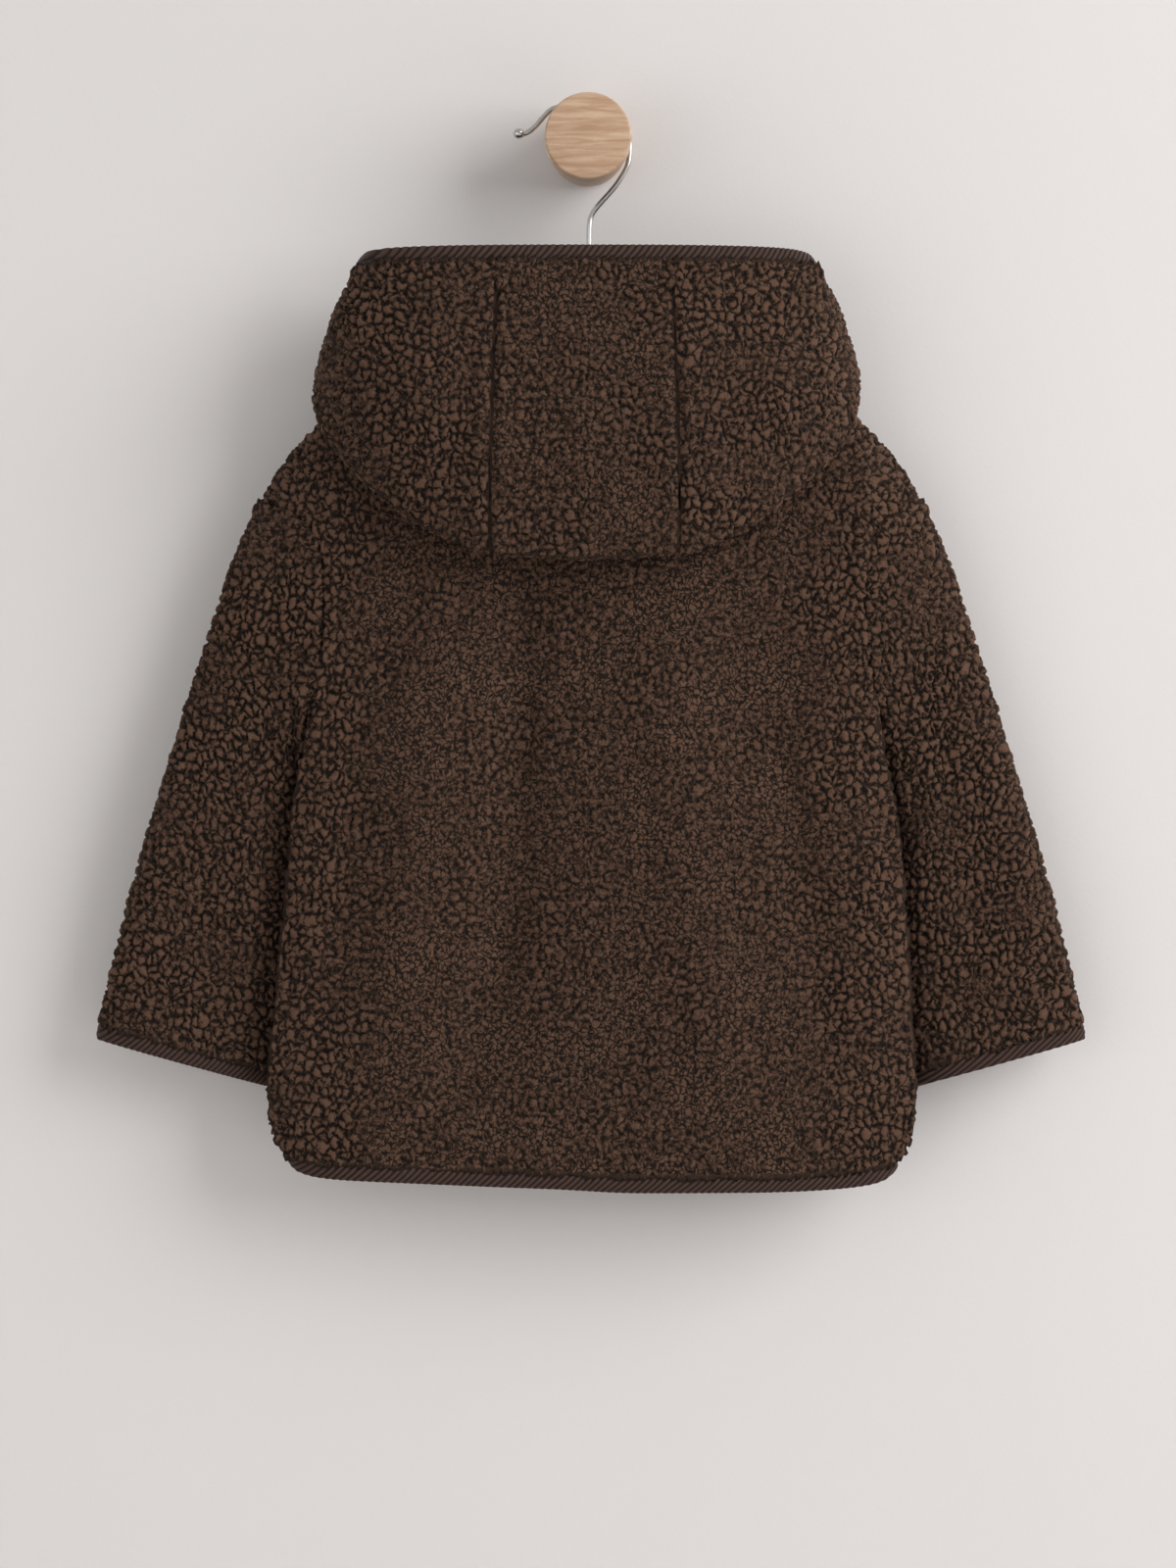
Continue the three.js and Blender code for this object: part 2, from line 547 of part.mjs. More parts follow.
// Sleeve tube: its first ring is the armhole, and each later ring is nearer to a plain section.
function sleevePanel(side, back, front) {
  const start = ROWS.indexOf(UNDERARM_ROW);
  const top = ROWS.length - 1;
  const backEdge = side < 0 ? 0 : back.grid[0].length - 1;
  const frontEdge = front.grid[0].length - 1;
  const armhole = [];
  for (let r = top; r > start; r -= 1) armhole.push(back.grid[r][backEdge]);
  for (let r = start; r < top; r += 1) armhole.push(front.grid[r][frontEdge]);
  const tip = armhole[0];
  const pit = armhole[top - start];
  const sides = armhole.length;
  const section = (at, s) => {
    const get = (name) => column(SLEEVE, 'at', at, name);
    const armShare = (armhole[s].z - pit.z) / (tip.z - pit.z);
    const plainShare = (1 + Math.cos(2 * Math.PI * s / sides)) / 2;
    const share = THREE.MathUtils.lerp(armShare, plainShare, smooth(0, ARMHOLE_REACH, at));
    const bulge = (1 - Math.abs(2 * share - 1) ** SLEEVE_POWER) ** (1 / SLEEVE_POWER);
    const edge = column(SIDE, 'z', get('inZ'), side < 0 ? 'left' : 'right');
    const first = at === 0;
    const outer = first ? tip : new THREE.Vector3(side * get('outX'), get('outY'), get('outZ'));
    const inner = first ? pit : new THREE.Vector3(side * (edge - get('inset')), get('inY'), get('inZ'));
    const place = new THREE.Vector3().lerpVectors(inner, outer, share);
    const face = s <= sides / 2 ? -1 : 1;
    place.y += face * bulge * (get('depth') + sleeveRise(at, s / sides));
    return place;
  };
  const shift = armhole.map((point, s) => new THREE.Vector3().subVectors(point, section(0, s)));
  const grid = SLEEVE_RINGS.map((at) => armhole.map((point, s) => {
    if (at === 0) return point.clone();
    const pull = Math.max(0, 1 - at / ARMHOLE_REACH) ** 2;
    return section(at, s).addScaledVector(shift[s], pull);
  }));
  return makePanel(side < 0 ? 'sleeve_left' : 'sleeve_right', grid, side, true);
}

function sleeveRise(at, turn) {
  let rise = 0;
  for (const fold of SLEEVE_FOLDS) {
    const along = (at - fold.at) / fold.length;
    const round = (turn - fold.turn) / fold.spread;
    rise += fold.rise * Math.exp(-along * along - round * round);
  }
  return rise;
}

// The two places beside the hood's fold, far enough apart for the cloth to turn round it.
function besideFold(leg, fold, belly) {
  const reachTo = (other) => Math.min(FOLD_ROUND.reach, other.distanceTo(fold) / 2);
  const toward = (other) => new THREE.Vector3().subVectors(other, fold).setLength(reachTo(other)).add(fold);
  const before = toward(leg);
  const after = toward(belly);
  const middle = new THREE.Vector3().lerpVectors(before, after, 0.5);
  const apart = new THREE.Vector3().subVectors(after, before);
  const half = Math.max(Math.min(reachTo(leg), reachTo(belly)), apart.length() / 2);
  apart.setLength(half);
  return [new THREE.Vector3().subVectors(middle, apart), new THREE.Vector3().addVectors(middle, apart)];
}

// One section of the hood as a smooth line from the neck seam to the rim.
function hoodSection(side, columnAt, neckPoint) {
  const get = (name) => column(HOOD, 'column', columnAt, name);
  const shift = column(HOOD_SHIFT, 'column', columnAt, 'x');
  const spot = (part) => new THREE.Vector3(side * get(`${part}X`) + shift, get(`${part}Y`), get(`${part}Z`));
  const leg = spot('leg');
  const fold = spot('fold');
  const belly = spot('belly');
  const stand = get('stand');
  const roll = get('roll');
  const out = new THREE.Vector3(leg.x - neckPoint.x, leg.y - neckPoint.y, 0).normalize();
  const risen = neckPoint.clone().add(new THREE.Vector3(0, 0, stand));
  const crest = risen.clone().addScaledVector(out, roll).add(new THREE.Vector3(0, 0, roll * CREST_SHARE));
  const over = risen.clone().addScaledVector(out, 2 * roll);
  const plain = smooth(ROLL_END.first, ROLL_END.last, columnAt);
  [crest, over].forEach((place, i) => {
    place.lerp(new THREE.Vector3().lerpVectors(risen, leg, ROLL_END.shares[i]), plain);
  });
  const line = [neckPoint, risen, crest, over, leg, ...besideFold(leg, fold, belly), belly, spot('rim')];
  line.splice(FOLD_PLACE, 0, fold);
  const curve = new THREE.CatmullRomCurve3(line, false, 'centripetal');
  const points = [neckPoint.clone()];
  HOOD_SPAN_ROWS.forEach((rows, span) => {
    for (let i = 1; i <= rows; i += 1) points.push(curve.getPoint((span + i / rows) / HOOD_SPAN_ROWS.length));
  });
  return points;
}

// Sections turned into rows, so that row 0 is the neck seam and the last row is the rim.
function gridFromSections(sections) {
  return sections[0].map((_, r) => sections.map((section) => section[r]));
}

function hoodPanels(back, fronts) {
  const top = ROWS.length - 1;
  const centre = (back.grid[top].length - 1) / 2;
  const neckAt = (side, c) => {
    if (c <= NECK_COLUMNS) return back.grid[top][centre + side * c];
    const front = side < 0 ? fronts[0] : fronts[1];
    return front.grid[top][2 * NECK_COLUMNS + 1 - c];
  };
  const strip = [];
  for (let c = -STRIP_COLUMNS; c <= STRIP_COLUMNS; c += 1) {
    const side = c < 0 ? -1 : 1;
    strip.push(hoodSection(side, Math.abs(c), neckAt(side, Math.abs(c))));
  }
  const sidePanel = (side) => {
    const sections = [];
    for (let c = STRIP_COLUMNS; c <= 2 * NECK_COLUMNS + 1; c += 1) {
      sections.push(hoodSection(side, c, neckAt(side, c)));
    }
    return gridFromSections(sections);
  };
  return [
    makePanel('hood_centre', gridFromSections(strip), 1),
    makePanel('hood_side_left', sidePanel(-1), -1),
    makePanel('hood_side_right', sidePanel(1), 1),
  ];
}

// Binding places round the hem, from one zip edge by way of the back to the other.
function hemPlaces(back, fronts) {
  const left = edgePlaces(fronts[0], false);
  const right = edgePlaces(fronts[1], false);
  return [...left, ...edgePlaces(back, false).slice(1, -1), ...right.reverse()];
}

function rimPlaces(hood) {
  const left = edgePlaces(hood[1], true).reverse();
  const centre = edgePlaces(hood[0], true);
  const right = edgePlaces(hood[2], true);
  return [...left, ...centre.slice(1, -1), ...right];
}

function boxGeometry(lowX, highX, lowY, highY, lowZ, highZ) {
  const geometry = new THREE.BoxGeometry(highX - lowX, highY - lowY, highZ - lowZ);
  return geometry.translate((lowX + highX) / 2, (lowY + highY) / 2, (lowZ + highZ) / 2);
}

// Depth of the cloth's inner face beside the zip, and of the faces that lie on it.
const frontFaceY = MID_Y + FRONT_DEPTH;
const tapeFaceY = frontFaceY - WALL - TAPE.gap;
const chainFaceY = tapeFaceY - TAPE.thick / 2 + CHAIN.thick / 2;
const sliderFaceY = chainFaceY + SLIDER.gap + SLIDER.thick;
const hingeY = sliderFaceY + BRIDGE.openDeep / 2;
const hingeZ = (SLIDER.top + SLIDER.foot) / 2;

function tapeGeometry(side) {
  const edges = [side * TAPE.inner, side * TAPE.outer].sort((a, b) => a - b);
  return boxGeometry(edges[0], edges[1], tapeFaceY - TAPE.thick, tapeFaceY, TAPE.foot, TAPE.top);
}

function chainGeometry() {
  return boxGeometry(-CHAIN.half, CHAIN.half, chainFaceY - CHAIN.thick, chainFaceY, CHAIN.foot, CHAIN.top);
}

function zipBoxGeometry() {
  const middle = chainFaceY - CHAIN.thick / 2;
  const half = TAPE.inner - ZIP_BOX.gap;
  const deep = ZIP_BOX.thick / 2;
  return boxGeometry(-half, half, middle - deep, middle + deep, ZIP_BOX.foot, CHAIN.foot - ZIP_BOX.gap);
}

// An outline in Y and Z pushed out along X, centred on X = 0.
function extrudeAcross(shape, half) {
  const geometry = new THREE.ExtrudeGeometry(shape, { depth: 2 * half, bevelEnabled: false });
  geometry.translate(0, 0, -half);
  return geometry.applyMatrix4(new THREE.Matrix4().makeBasis(
    new THREE.Vector3(0, 1, 0), new THREE.Vector3(0, 0, 1), new THREE.Vector3(1, 0, 0)));
}

function outline(points) {
  return new THREE.Shape(points.map(([x, y]) => new THREE.Vector2(x, y)));
}

// Slider plate with the narrow bridge that traps the pull tab's bar.
function sliderGeometry(wasm) {
  const back = chainFaceY + SLIDER.gap;
  const shoulderLow = SLIDER.foot + SLIDER.footRise;
  const shoulderHigh = SLIDER.top - SLIDER.topDrop;
  const plate = new THREE.ExtrudeGeometry(outline([
    [-SLIDER.footHalf, SLIDER.foot], [SLIDER.footHalf, SLIDER.foot], [SLIDER.half, shoulderLow],
    [SLIDER.half, shoulderHigh], [SLIDER.topHalf, SLIDER.top], [-SLIDER.topHalf, SLIDER.top],
    [-SLIDER.half, shoulderHigh], [-SLIDER.half, shoulderLow],
  ]), { depth: SLIDER.thick, bevelEnabled: false });
  plate.rotateX(Math.PI / 2).translate(0, back + SLIDER.thick, 0);
  const reach = BRIDGE.openHigh / 2;
  const face = sliderFaceY + BRIDGE.openDeep;
  const root = sliderFaceY - BRIDGE.root;
  const bridge = extrudeAcross(outline([
    [root, hingeZ - reach - BRIDGE.post], [face, hingeZ - reach - BRIDGE.post],
    [face + BRIDGE.thick, hingeZ - reach], [face + BRIDGE.thick, hingeZ + reach],
    [face, hingeZ + reach + BRIDGE.post], [root, hingeZ + reach + BRIDGE.post],
    [root, hingeZ + reach], [face, hingeZ + reach], [face, hingeZ - reach], [root, hingeZ - reach],
  ]), BRIDGE.half);
  return uniteGeometries(wasm, [plate, bridge]);
}

// Pull tab: a flat plate with an eye, hanging by the eye's top bar.
function tabGeometry() {
  const low = hingeZ - TAB.long;
  const top = hingeZ + TAB.bar / 2;
  const shape = outline([
    [-TAB.lowHalf, low], [TAB.lowHalf, low], [TAB.half, low + TAB.lowRise], [TAB.half, top],
    [-TAB.half, top], [-TAB.half, low + TAB.lowRise],
  ]);
  const eyeHalf = TAB.half - TAB.arm;
  const eyeTop = hingeZ - TAB.bar / 2;
  const eye = new THREE.Path([[-eyeHalf, eyeTop], [eyeHalf, eyeTop], [eyeHalf, hingeZ - TAB.eye],
    [-eyeHalf, hingeZ - TAB.eye]].map(([x, y]) => new THREE.Vector2(x, y)));
  shape.holes.push(eye);
  const geometry = new THREE.ExtrudeGeometry(shape, { depth: TAB.thick, bevelEnabled: false });
  return geometry.rotateX(Math.PI / 2).translate(0, hingeY + TAB.thick / 2, 0);
}

// Round rod along a line in the XZ plane, with its own radius at each point.
function rodGeometry(line, radii, y, sides) {
  const rings = line.map(([x, z], i) => {
    const [beforeX, beforeZ] = line[Math.max(i - 1, 0)];
    const [afterX, afterZ] = line[Math.min(i + 1, line.length - 1)];
    const across = new THREE.Vector3(-(afterZ - beforeZ), 0, afterX - beforeX).normalize();
    const ring = [];
    for (let s = 0; s < sides; s += 1) {
      const turn = 2 * Math.PI * s / sides;
      const point = new THREE.Vector3(x, y, z).addScaledVector(across, radii[i] * Math.cos(turn));
      point.y += radii[i] * Math.sin(turn);
      ring.push(point);
    }
    return ring;
  });
  return ringGeometry(rings, false);
}

// Wire hook with a ball on its free end.
function hookGeometry() {
  const line = [];
  const radii = [];
  const [ballX, ballZ] = HOOK_START[0];
  for (let i = 0; i <= BALL.steps; i += 1) {
    const turn = THREE.MathUtils.degToRad(BALL.from + (BALL.to - BALL.from) * i / BALL.steps);
    line.push([ballX - BALL.radius * Math.cos(turn), ballZ]);
    radii.push(BALL.radius * Math.sin(turn));
  }
  const addWire = (points) => {
    for (const point of points) {
      line.push(point);
      radii.push(WIRE.radius);
    }
  };
  addWire(HOOK_START.slice(1));
  const arc = [];
  for (let i = 0; i <= HOOK_ARC.steps; i += 1) {
    const share = i / HOOK_ARC.steps;
    const turn = THREE.MathUtils.degToRad(HOOK_ARC.from + (HOOK_ARC.to - HOOK_ARC.from) * share);
    arc.push([HOOK_ARC.radius * Math.cos(turn), HOOK_ARC.radius * Math.sin(turn)]);
  }
  addWire(arc);
  addWire(HOOK_END);
  return rodGeometry(line, radii, HOOK_Y, WIRE.sides);
}

// Hanger bar that follows the shoulders just under the cloth, with rounded ends.
function barGeometry() {
  const arm = BAR_NECK.map(({ x, z }) => [x, z]);
  const drop = WALL + BAR.clear + BAR.high / 2;
  for (const x of BAR_ARM) {
    const slope = (shoulderZ(x + 1) - shoulderZ(x - 1)) / 2;
    const length = Math.hypot(1, slope);
    arm.push([x + drop * slope / length, shoulderZ(x) - drop / length]);
  }
  const [endX, endZ] = arm[arm.length - 1];
  const [beforeX, beforeZ] = arm[arm.length - 2];
  const step = Math.hypot(endX - beforeX, endZ - beforeZ) / BAR.tip;
  arm.push([endX + (endX - beforeX) / step, endZ + (endZ - beforeZ) / step]);
  const line = [...arm.slice(1).reverse().map(([x, z]) => [-x, z]), ...arm];
  const profile = [];
  for (let s = 0; s < BAR.sides; s += 1) {
    const turn = 2 * Math.PI * s / BAR.sides;
    profile.push([Math.cos(turn), Math.sin(turn)]);
  }
  const rings = line.map(([x, z], i) => {
    const [fromX, fromZ] = line[Math.max(i - 1, 0)];
    const [toX, toZ] = line[Math.min(i + 1, line.length - 1)];
    const up = new THREE.Vector3(-(toZ - fromZ), 0, toX - fromX).normalize();
    const atEnd = i === 0 || i === line.length - 1;
    const size = atEnd ? BAR.tipSize : 1;
    return profile.map(([deep, high]) => {
      const point = new THREE.Vector3(x, HOOK_Y, z).addScaledVector(up, size * high * BAR.high / 2);
      point.y += size * deep * BAR.thick / 2;
      return point;
    });
  });
  return ringGeometry(rings, false);
}

// Turned knob: a wide head on a narrower neck that the hook hangs on.
function knobGeometry() {
  const { head, neck, depth, headDepth, round, sides } = KNOB;
  const profile = [
    [0, 0], [neck, 0], [neck, depth - headDepth], [head - round, depth - headDepth],
    [head, depth - headDepth + round], [head, depth - round], [head - round, depth], [0, depth],
  ].map(([x, y]) => new THREE.Vector2(x, y));
  const geometry = new THREE.LatheGeometry(profile, sides);
  return geometry.rotateX(Math.PI);
}

async function loadManifold() {
  const library = await Module();
  library.setup();
  return library;
}

function solidOf(wasm, geometry) {
  const welded = weldedGeometry(geometry);
  return new wasm.Manifold(new wasm.Mesh({
    numProp: 3,
    vertProperties: new Float32Array(welded.getAttribute('position').array),
    triVerts: new Uint32Array(welded.getIndex().array),
  }));
}

function uniteGeometries(wasm, geometries) {
  return mergedGeometry(wasm, geometries.map((geometry) => solidOf(wasm, geometry)));
}

function mergedGeometry(wasm, solids) {
  const mesh = wasm.Manifold.union(solids).simplify(MERGE_SLACK).getMesh();
  const geometry = new THREE.BufferGeometry();
  geometry.setAttribute('position', new THREE.BufferAttribute(mesh.vertProperties, 3));
  geometry.setIndex(new THREE.BufferAttribute(mesh.triVerts, 1));
  return geometry;
}

function weldedGeometry(geometry) {
  const plain = geometry.clone();
  plain.deleteAttribute('normal');
  plain.deleteAttribute('uv');
  return mergeVertices(plain, WELD);
}

function addPiece(group, name, geometry, finish) {
  const piece = new THREE.Mesh(geometry, new THREE.MeshStandardMaterial(finish));
  piece.name = name;
  group.add(piece);
}

const wasm = await loadManifold();
const object = new THREE.Group();
const jacket = new THREE.Group();
jacket.position.x = HANG_SHIFT;
object.add(jacket);

const back = backPanel();
const fronts = [frontPanel(-1), frontPanel(1)];
const sleeves = [sleevePanel(-1, back, fronts[0]), sleevePanel(1, back, fronts[1])];
const hood = hoodPanels(back, fronts);
const cloth = [back, ...fronts, ...sleeves, ...hood];
shareSeamNormals(cloth);
const bunched = hood.slice(1);
for (const panel of cloth) {
  const geometry = bunched.includes(panel) ? bunchedGeometry(wasm, panel, BUNCH_START) : panelGeometry(panel);
  addPiece(jacket, panel.name, geometry, FLEECE);
}

addPiece(jacket, 'hem_binding', bindingGeometry(hemPlaces(back, fronts), false), TRIM);
addPiece(jacket, 'hood_binding', bindingGeometry(rimPlaces(hood), false), TRIM);
addPiece(jacket, 'cuff_binding_left', bindingGeometry(edgePlaces(sleeves[0], true), true), TRIM);
addPiece(jacket, 'cuff_binding_right', bindingGeometry(edgePlaces(sleeves[1], true), true), TRIM);

addPiece(jacket, 'zip_tape_left', tapeGeometry(-1), TRIM);
addPiece(jacket, 'zip_tape_right', tapeGeometry(1), TRIM);
addPiece(jacket, 'zip_chain', chainGeometry(), TEETH);
addPiece(jacket, 'zip_box', zipBoxGeometry(), TEETH);
addPiece(jacket, 'zip_slider', sliderGeometry(wasm), STEEL);
addPiece(jacket, 'zip_pull', tabGeometry(), STEEL);

addPiece(object, 'hanger_bar', barGeometry(), WOOD);
addPiece(object, 'hanger_hook', hookGeometry(), STEEL);
addPiece(object, 'wall_knob', knobGeometry(), WOOD);

export default object;
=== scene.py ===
"""Looks of a toddler's hooded fleece jacket that hangs by its hanger on a wooden wall knob.

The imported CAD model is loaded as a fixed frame. Each cloth panel is made from its own solid: the form is
smoothed, the outer side is divided finely and a curly pile is grown on it. The bindings, the zip, the
hanger and the knob are finished pieces that stand for their solids. Lengths are metres, +Y goes into the
wall.
"""

from __future__ import annotations

import json
import logging
import math
from dataclasses import dataclass
from enum import Enum

import bmesh
import bpy
import numpy as np
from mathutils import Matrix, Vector
from mathutils.kdtree import KDTree

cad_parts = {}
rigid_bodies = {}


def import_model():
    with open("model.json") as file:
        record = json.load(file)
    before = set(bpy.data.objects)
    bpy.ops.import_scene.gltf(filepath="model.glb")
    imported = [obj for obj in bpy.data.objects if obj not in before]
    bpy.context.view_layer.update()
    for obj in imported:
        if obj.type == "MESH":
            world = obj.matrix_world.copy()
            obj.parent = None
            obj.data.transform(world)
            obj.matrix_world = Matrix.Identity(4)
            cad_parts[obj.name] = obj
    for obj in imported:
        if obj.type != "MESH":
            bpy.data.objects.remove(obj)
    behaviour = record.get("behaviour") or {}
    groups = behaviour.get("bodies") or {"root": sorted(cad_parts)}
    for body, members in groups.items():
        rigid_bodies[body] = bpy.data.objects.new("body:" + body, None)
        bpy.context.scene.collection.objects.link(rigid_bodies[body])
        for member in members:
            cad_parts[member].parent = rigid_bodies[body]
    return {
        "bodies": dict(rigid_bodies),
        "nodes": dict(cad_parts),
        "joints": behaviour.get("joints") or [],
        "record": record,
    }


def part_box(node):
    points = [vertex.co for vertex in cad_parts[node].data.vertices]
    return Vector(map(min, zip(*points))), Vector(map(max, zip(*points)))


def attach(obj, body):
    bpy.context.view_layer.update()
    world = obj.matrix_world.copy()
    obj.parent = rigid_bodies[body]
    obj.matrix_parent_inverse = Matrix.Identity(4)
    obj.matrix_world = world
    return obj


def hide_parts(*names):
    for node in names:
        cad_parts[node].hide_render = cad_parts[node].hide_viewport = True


LOG = logging.getLogger("fleece_jacket")

MM = 0.001
BODY = "jacket"
PULL_BODY = "pull_tab"
FACE_GROUP = "pile_face"
PILE_MAP = "pile_map"
LOOSENESS = "looseness"
RIB_PHASE = "rib_phase"
# Pile pattern: sizes of the nubs, the slope of their sides, how far they bend, and the pits between them.
FINE_NUB = 2.7 * MM
LOOSE_NUB = 4.3 * MM
NUB_SLOPE = 0.3
FAR_BEND = 7.0 * MM
NEAR_BEND = 2.6 * MM
SHUT_PIT = -0.16
OPEN_PIT = 0.1
FACE_ANGLE = 48
# Bells of the pile's rise by the distance from an edge: rise, centre and width.
SEAM_DIP = (-1.5 * MM, 0.0, 2.0 * MM)
SEAM_SWELL = (1.1 * MM, 5.5 * MM, 2.6 * MM)
BOUND_SWELL = (0.9 * MM, 0.0, 4.0 * MM)
SPILL_REACH = 4.0 * MM
# Shifts that keep the pile's maps of sideways and upright places apart, and the loose band beside the back.
SIDE_SHIFT = 0.7
TOP_SHIFT = 1.3
LOOSE_BAND = 40 * MM
LOOSE_GAIN = 0.7
# Slow waves in the ribs' count: axis, share of a rib, turn and start.
RIB_SWAY = ((0, 0.09, 190, 0.0), (2, 0.07, 310, 1.0))
RIB_SLANT = 0.6
LAMP_TINT = (1.0, 0.98, 0.96)


class Side(Enum):
    """Sides of the jacket as its back is seen."""

    LEFT = -1
    RIGHT = 1


class Cloth(Enum):
    """Material slots of a cloth panel, in slot order."""

    PILE = 0
    BACKING = 1


def deselect_all() -> None:
    """Leaves edit mode and deselects every object."""
    if bpy.context.object is not None and bpy.context.object.mode != "OBJECT":
        bpy.ops.object.mode_set(mode="OBJECT")
    bpy.ops.object.select_all(action="DESELECT")


def make_active(piece: bpy.types.Object) -> None:
    """Selects one object alone and makes it active.

    Args:
        piece: The object to work on.
    """
    deselect_all()
    piece.select_set(True)
    bpy.context.view_layer.objects.active = piece


def apply_modifier(piece: bpy.types.Object, kind: str, **settings: object) -> None:
    """Adds a modifier, sets it and applies it.

    Args:
        piece: The mesh object.
        kind: Blender's modifier type.
        **settings: Values for the modifier's properties.
    """
    make_active(piece)
    modifier = piece.modifiers.new(kind.title(), kind)
    for name, value in settings.items():
        setattr(modifier, name, value)
    bpy.ops.object.modifier_apply(modifier=modifier.name)


def copy_of_node(node_name: str, piece_name: str) -> bpy.types.Object:
    """Makes a piece from a CAD node's mesh, with its doubles merged and its faces made quads.

    Args:
        node_name: The CAD node to copy.
        piece_name: The new object's name.

    Returns:
        The new mesh object, at the origin.
    """
    mesh = bpy.data.objects[node_name].data.copy()
    mesh.name = piece_name
    mesh.materials.clear()
    piece = bpy.data.objects.new(piece_name, mesh)
    bpy.context.scene.collection.objects.link(piece)
    make_active(piece)
    bpy.ops.object.mode_set(mode="EDIT")
    bpy.ops.mesh.select_all(action="SELECT")
    bpy.ops.mesh.remove_doubles(threshold=0.01 * MM)
    bpy.ops.mesh.tris_convert_to_quads(face_threshold=math.radians(60), shape_threshold=math.radians(70))
    bpy.ops.mesh.normals_make_consistent(inside=False)
    bpy.ops.object.mode_set(mode="OBJECT")
    return piece


def crease_sharp_edges(piece: bpy.types.Object, angle: float, crease: float = 1.0) -> None:
    """Creases the edges of a piece that turn by more than an angle, so that smoothing keeps them.

    Args:
        piece: The mesh object.
        angle: Least turn in degrees.
        crease: How sharp they stay, from 0 to 1.
    """
    make_active(piece)
    bpy.ops.object.mode_set(mode="EDIT")
    bpy.ops.mesh.select_all(action="DESELECT")
    bpy.ops.mesh.select_mode(type="EDGE")
    bpy.ops.mesh.edges_select_sharp(sharpness=math.radians(angle))
    bpy.ops.transform.edge_crease(value=crease)
    bpy.ops.object.mode_set(mode="OBJECT")


def fatten(piece: bpy.types.Object, growth: float) -> None:
    """Moves all of a piece's surface outward.

    Args:
        piece: The mesh object.
        growth: How far it moves, in metres.
    """
    make_active(piece)
    bpy.ops.object.mode_set(mode="EDIT")
    bpy.ops.mesh.select_all(action="SELECT")
    bpy.ops.transform.shrink_fatten(value=growth)
    bpy.ops.object.mode_set(mode="OBJECT")


def vertex_table(piece: bpy.types.Object, name: str) -> np.ndarray:
    """Reads a vector of every vertex, such as "co" or "normal", as rows of three numbers."""
    values = np.zeros(len(piece.data.vertices) * 3)
    piece.data.vertices.foreach_get(name, values)
    return values.reshape(-1, 3)


def set_points(piece: bpy.types.Object, points: np.ndarray) -> None:
    """Moves every vertex of a piece to its row of the table."""
    piece.data.vertices.foreach_set("co", points.ravel())
    piece.data.update()


def bell(away: np.ndarray, rise: float, centre: float, width: float) -> np.ndarray:
    """Height of a smooth bell of a rise, a centre and a width at each distance, in metres."""
    return rise * np.exp(-((away - centre) / width) ** 2)


def declare(piece: bpy.types.Object, node: str, body: str = BODY) -> None:
    """Hides the CAD node that a finished piece replaces, hangs the piece on its body and logs its face
    count.

    Args:
        piece: The finished piece.
        node: The CAD node that it replaces.
        body: The body that it rides on.
    """
    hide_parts(node)
    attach(piece, body)
    LOG.info("%s: %d faces", piece.name, len(piece.data.polygons))


def store_vertex_values(piece: bpy.types.Object, name: str, values: np.ndarray) -> None:
    """Keeps a number or a vector for every vertex as an attribute that materials can read.

    Args:
        piece: The mesh object.
        name: The attribute's name.
        values: One number or one row of three for each vertex.
    """
    kind, key = ("FLOAT", "value") if values.ndim == 1 else ("FLOAT_VECTOR", "vector")
    attribute = piece.data.attributes.new(name, kind, "POINT")
    attribute.data.foreach_set(key, values.ravel())


def refine(piece: bpy.types.Object, longest: float, slot: int | None = None, rounds: int = 5) -> None:
    """Halves a piece's long edges until none is longer than a length, or the rounds are used up.

    Args:
        piece: The mesh object.
        longest: The length in metres.
        slot: Material slot of the faces whose edges are halved, or None for all.
        rounds: How often an edge may be halved.
    """
    make_active(piece)
    bpy.ops.object.mode_set(mode="EDIT")
    bpy.ops.mesh.select_mode(type="EDGE")
    for _ in range(rounds):
        mesh = bmesh.from_edit_mesh(piece.data)
        found = False
        for edge in mesh.edges:
            wanted = slot is None or any(face.material_index == slot for face in edge.link_faces)
            chosen = wanted and edge.calc_length() > longest
            edge.select_set(chosen)
            found = found or chosen
        bmesh.update_edit_mesh(piece.data)
        if not found:
            break
        bpy.ops.mesh.subdivide(number_cuts=1, ngon=False)
    bpy.ops.object.mode_set(mode="OBJECT")


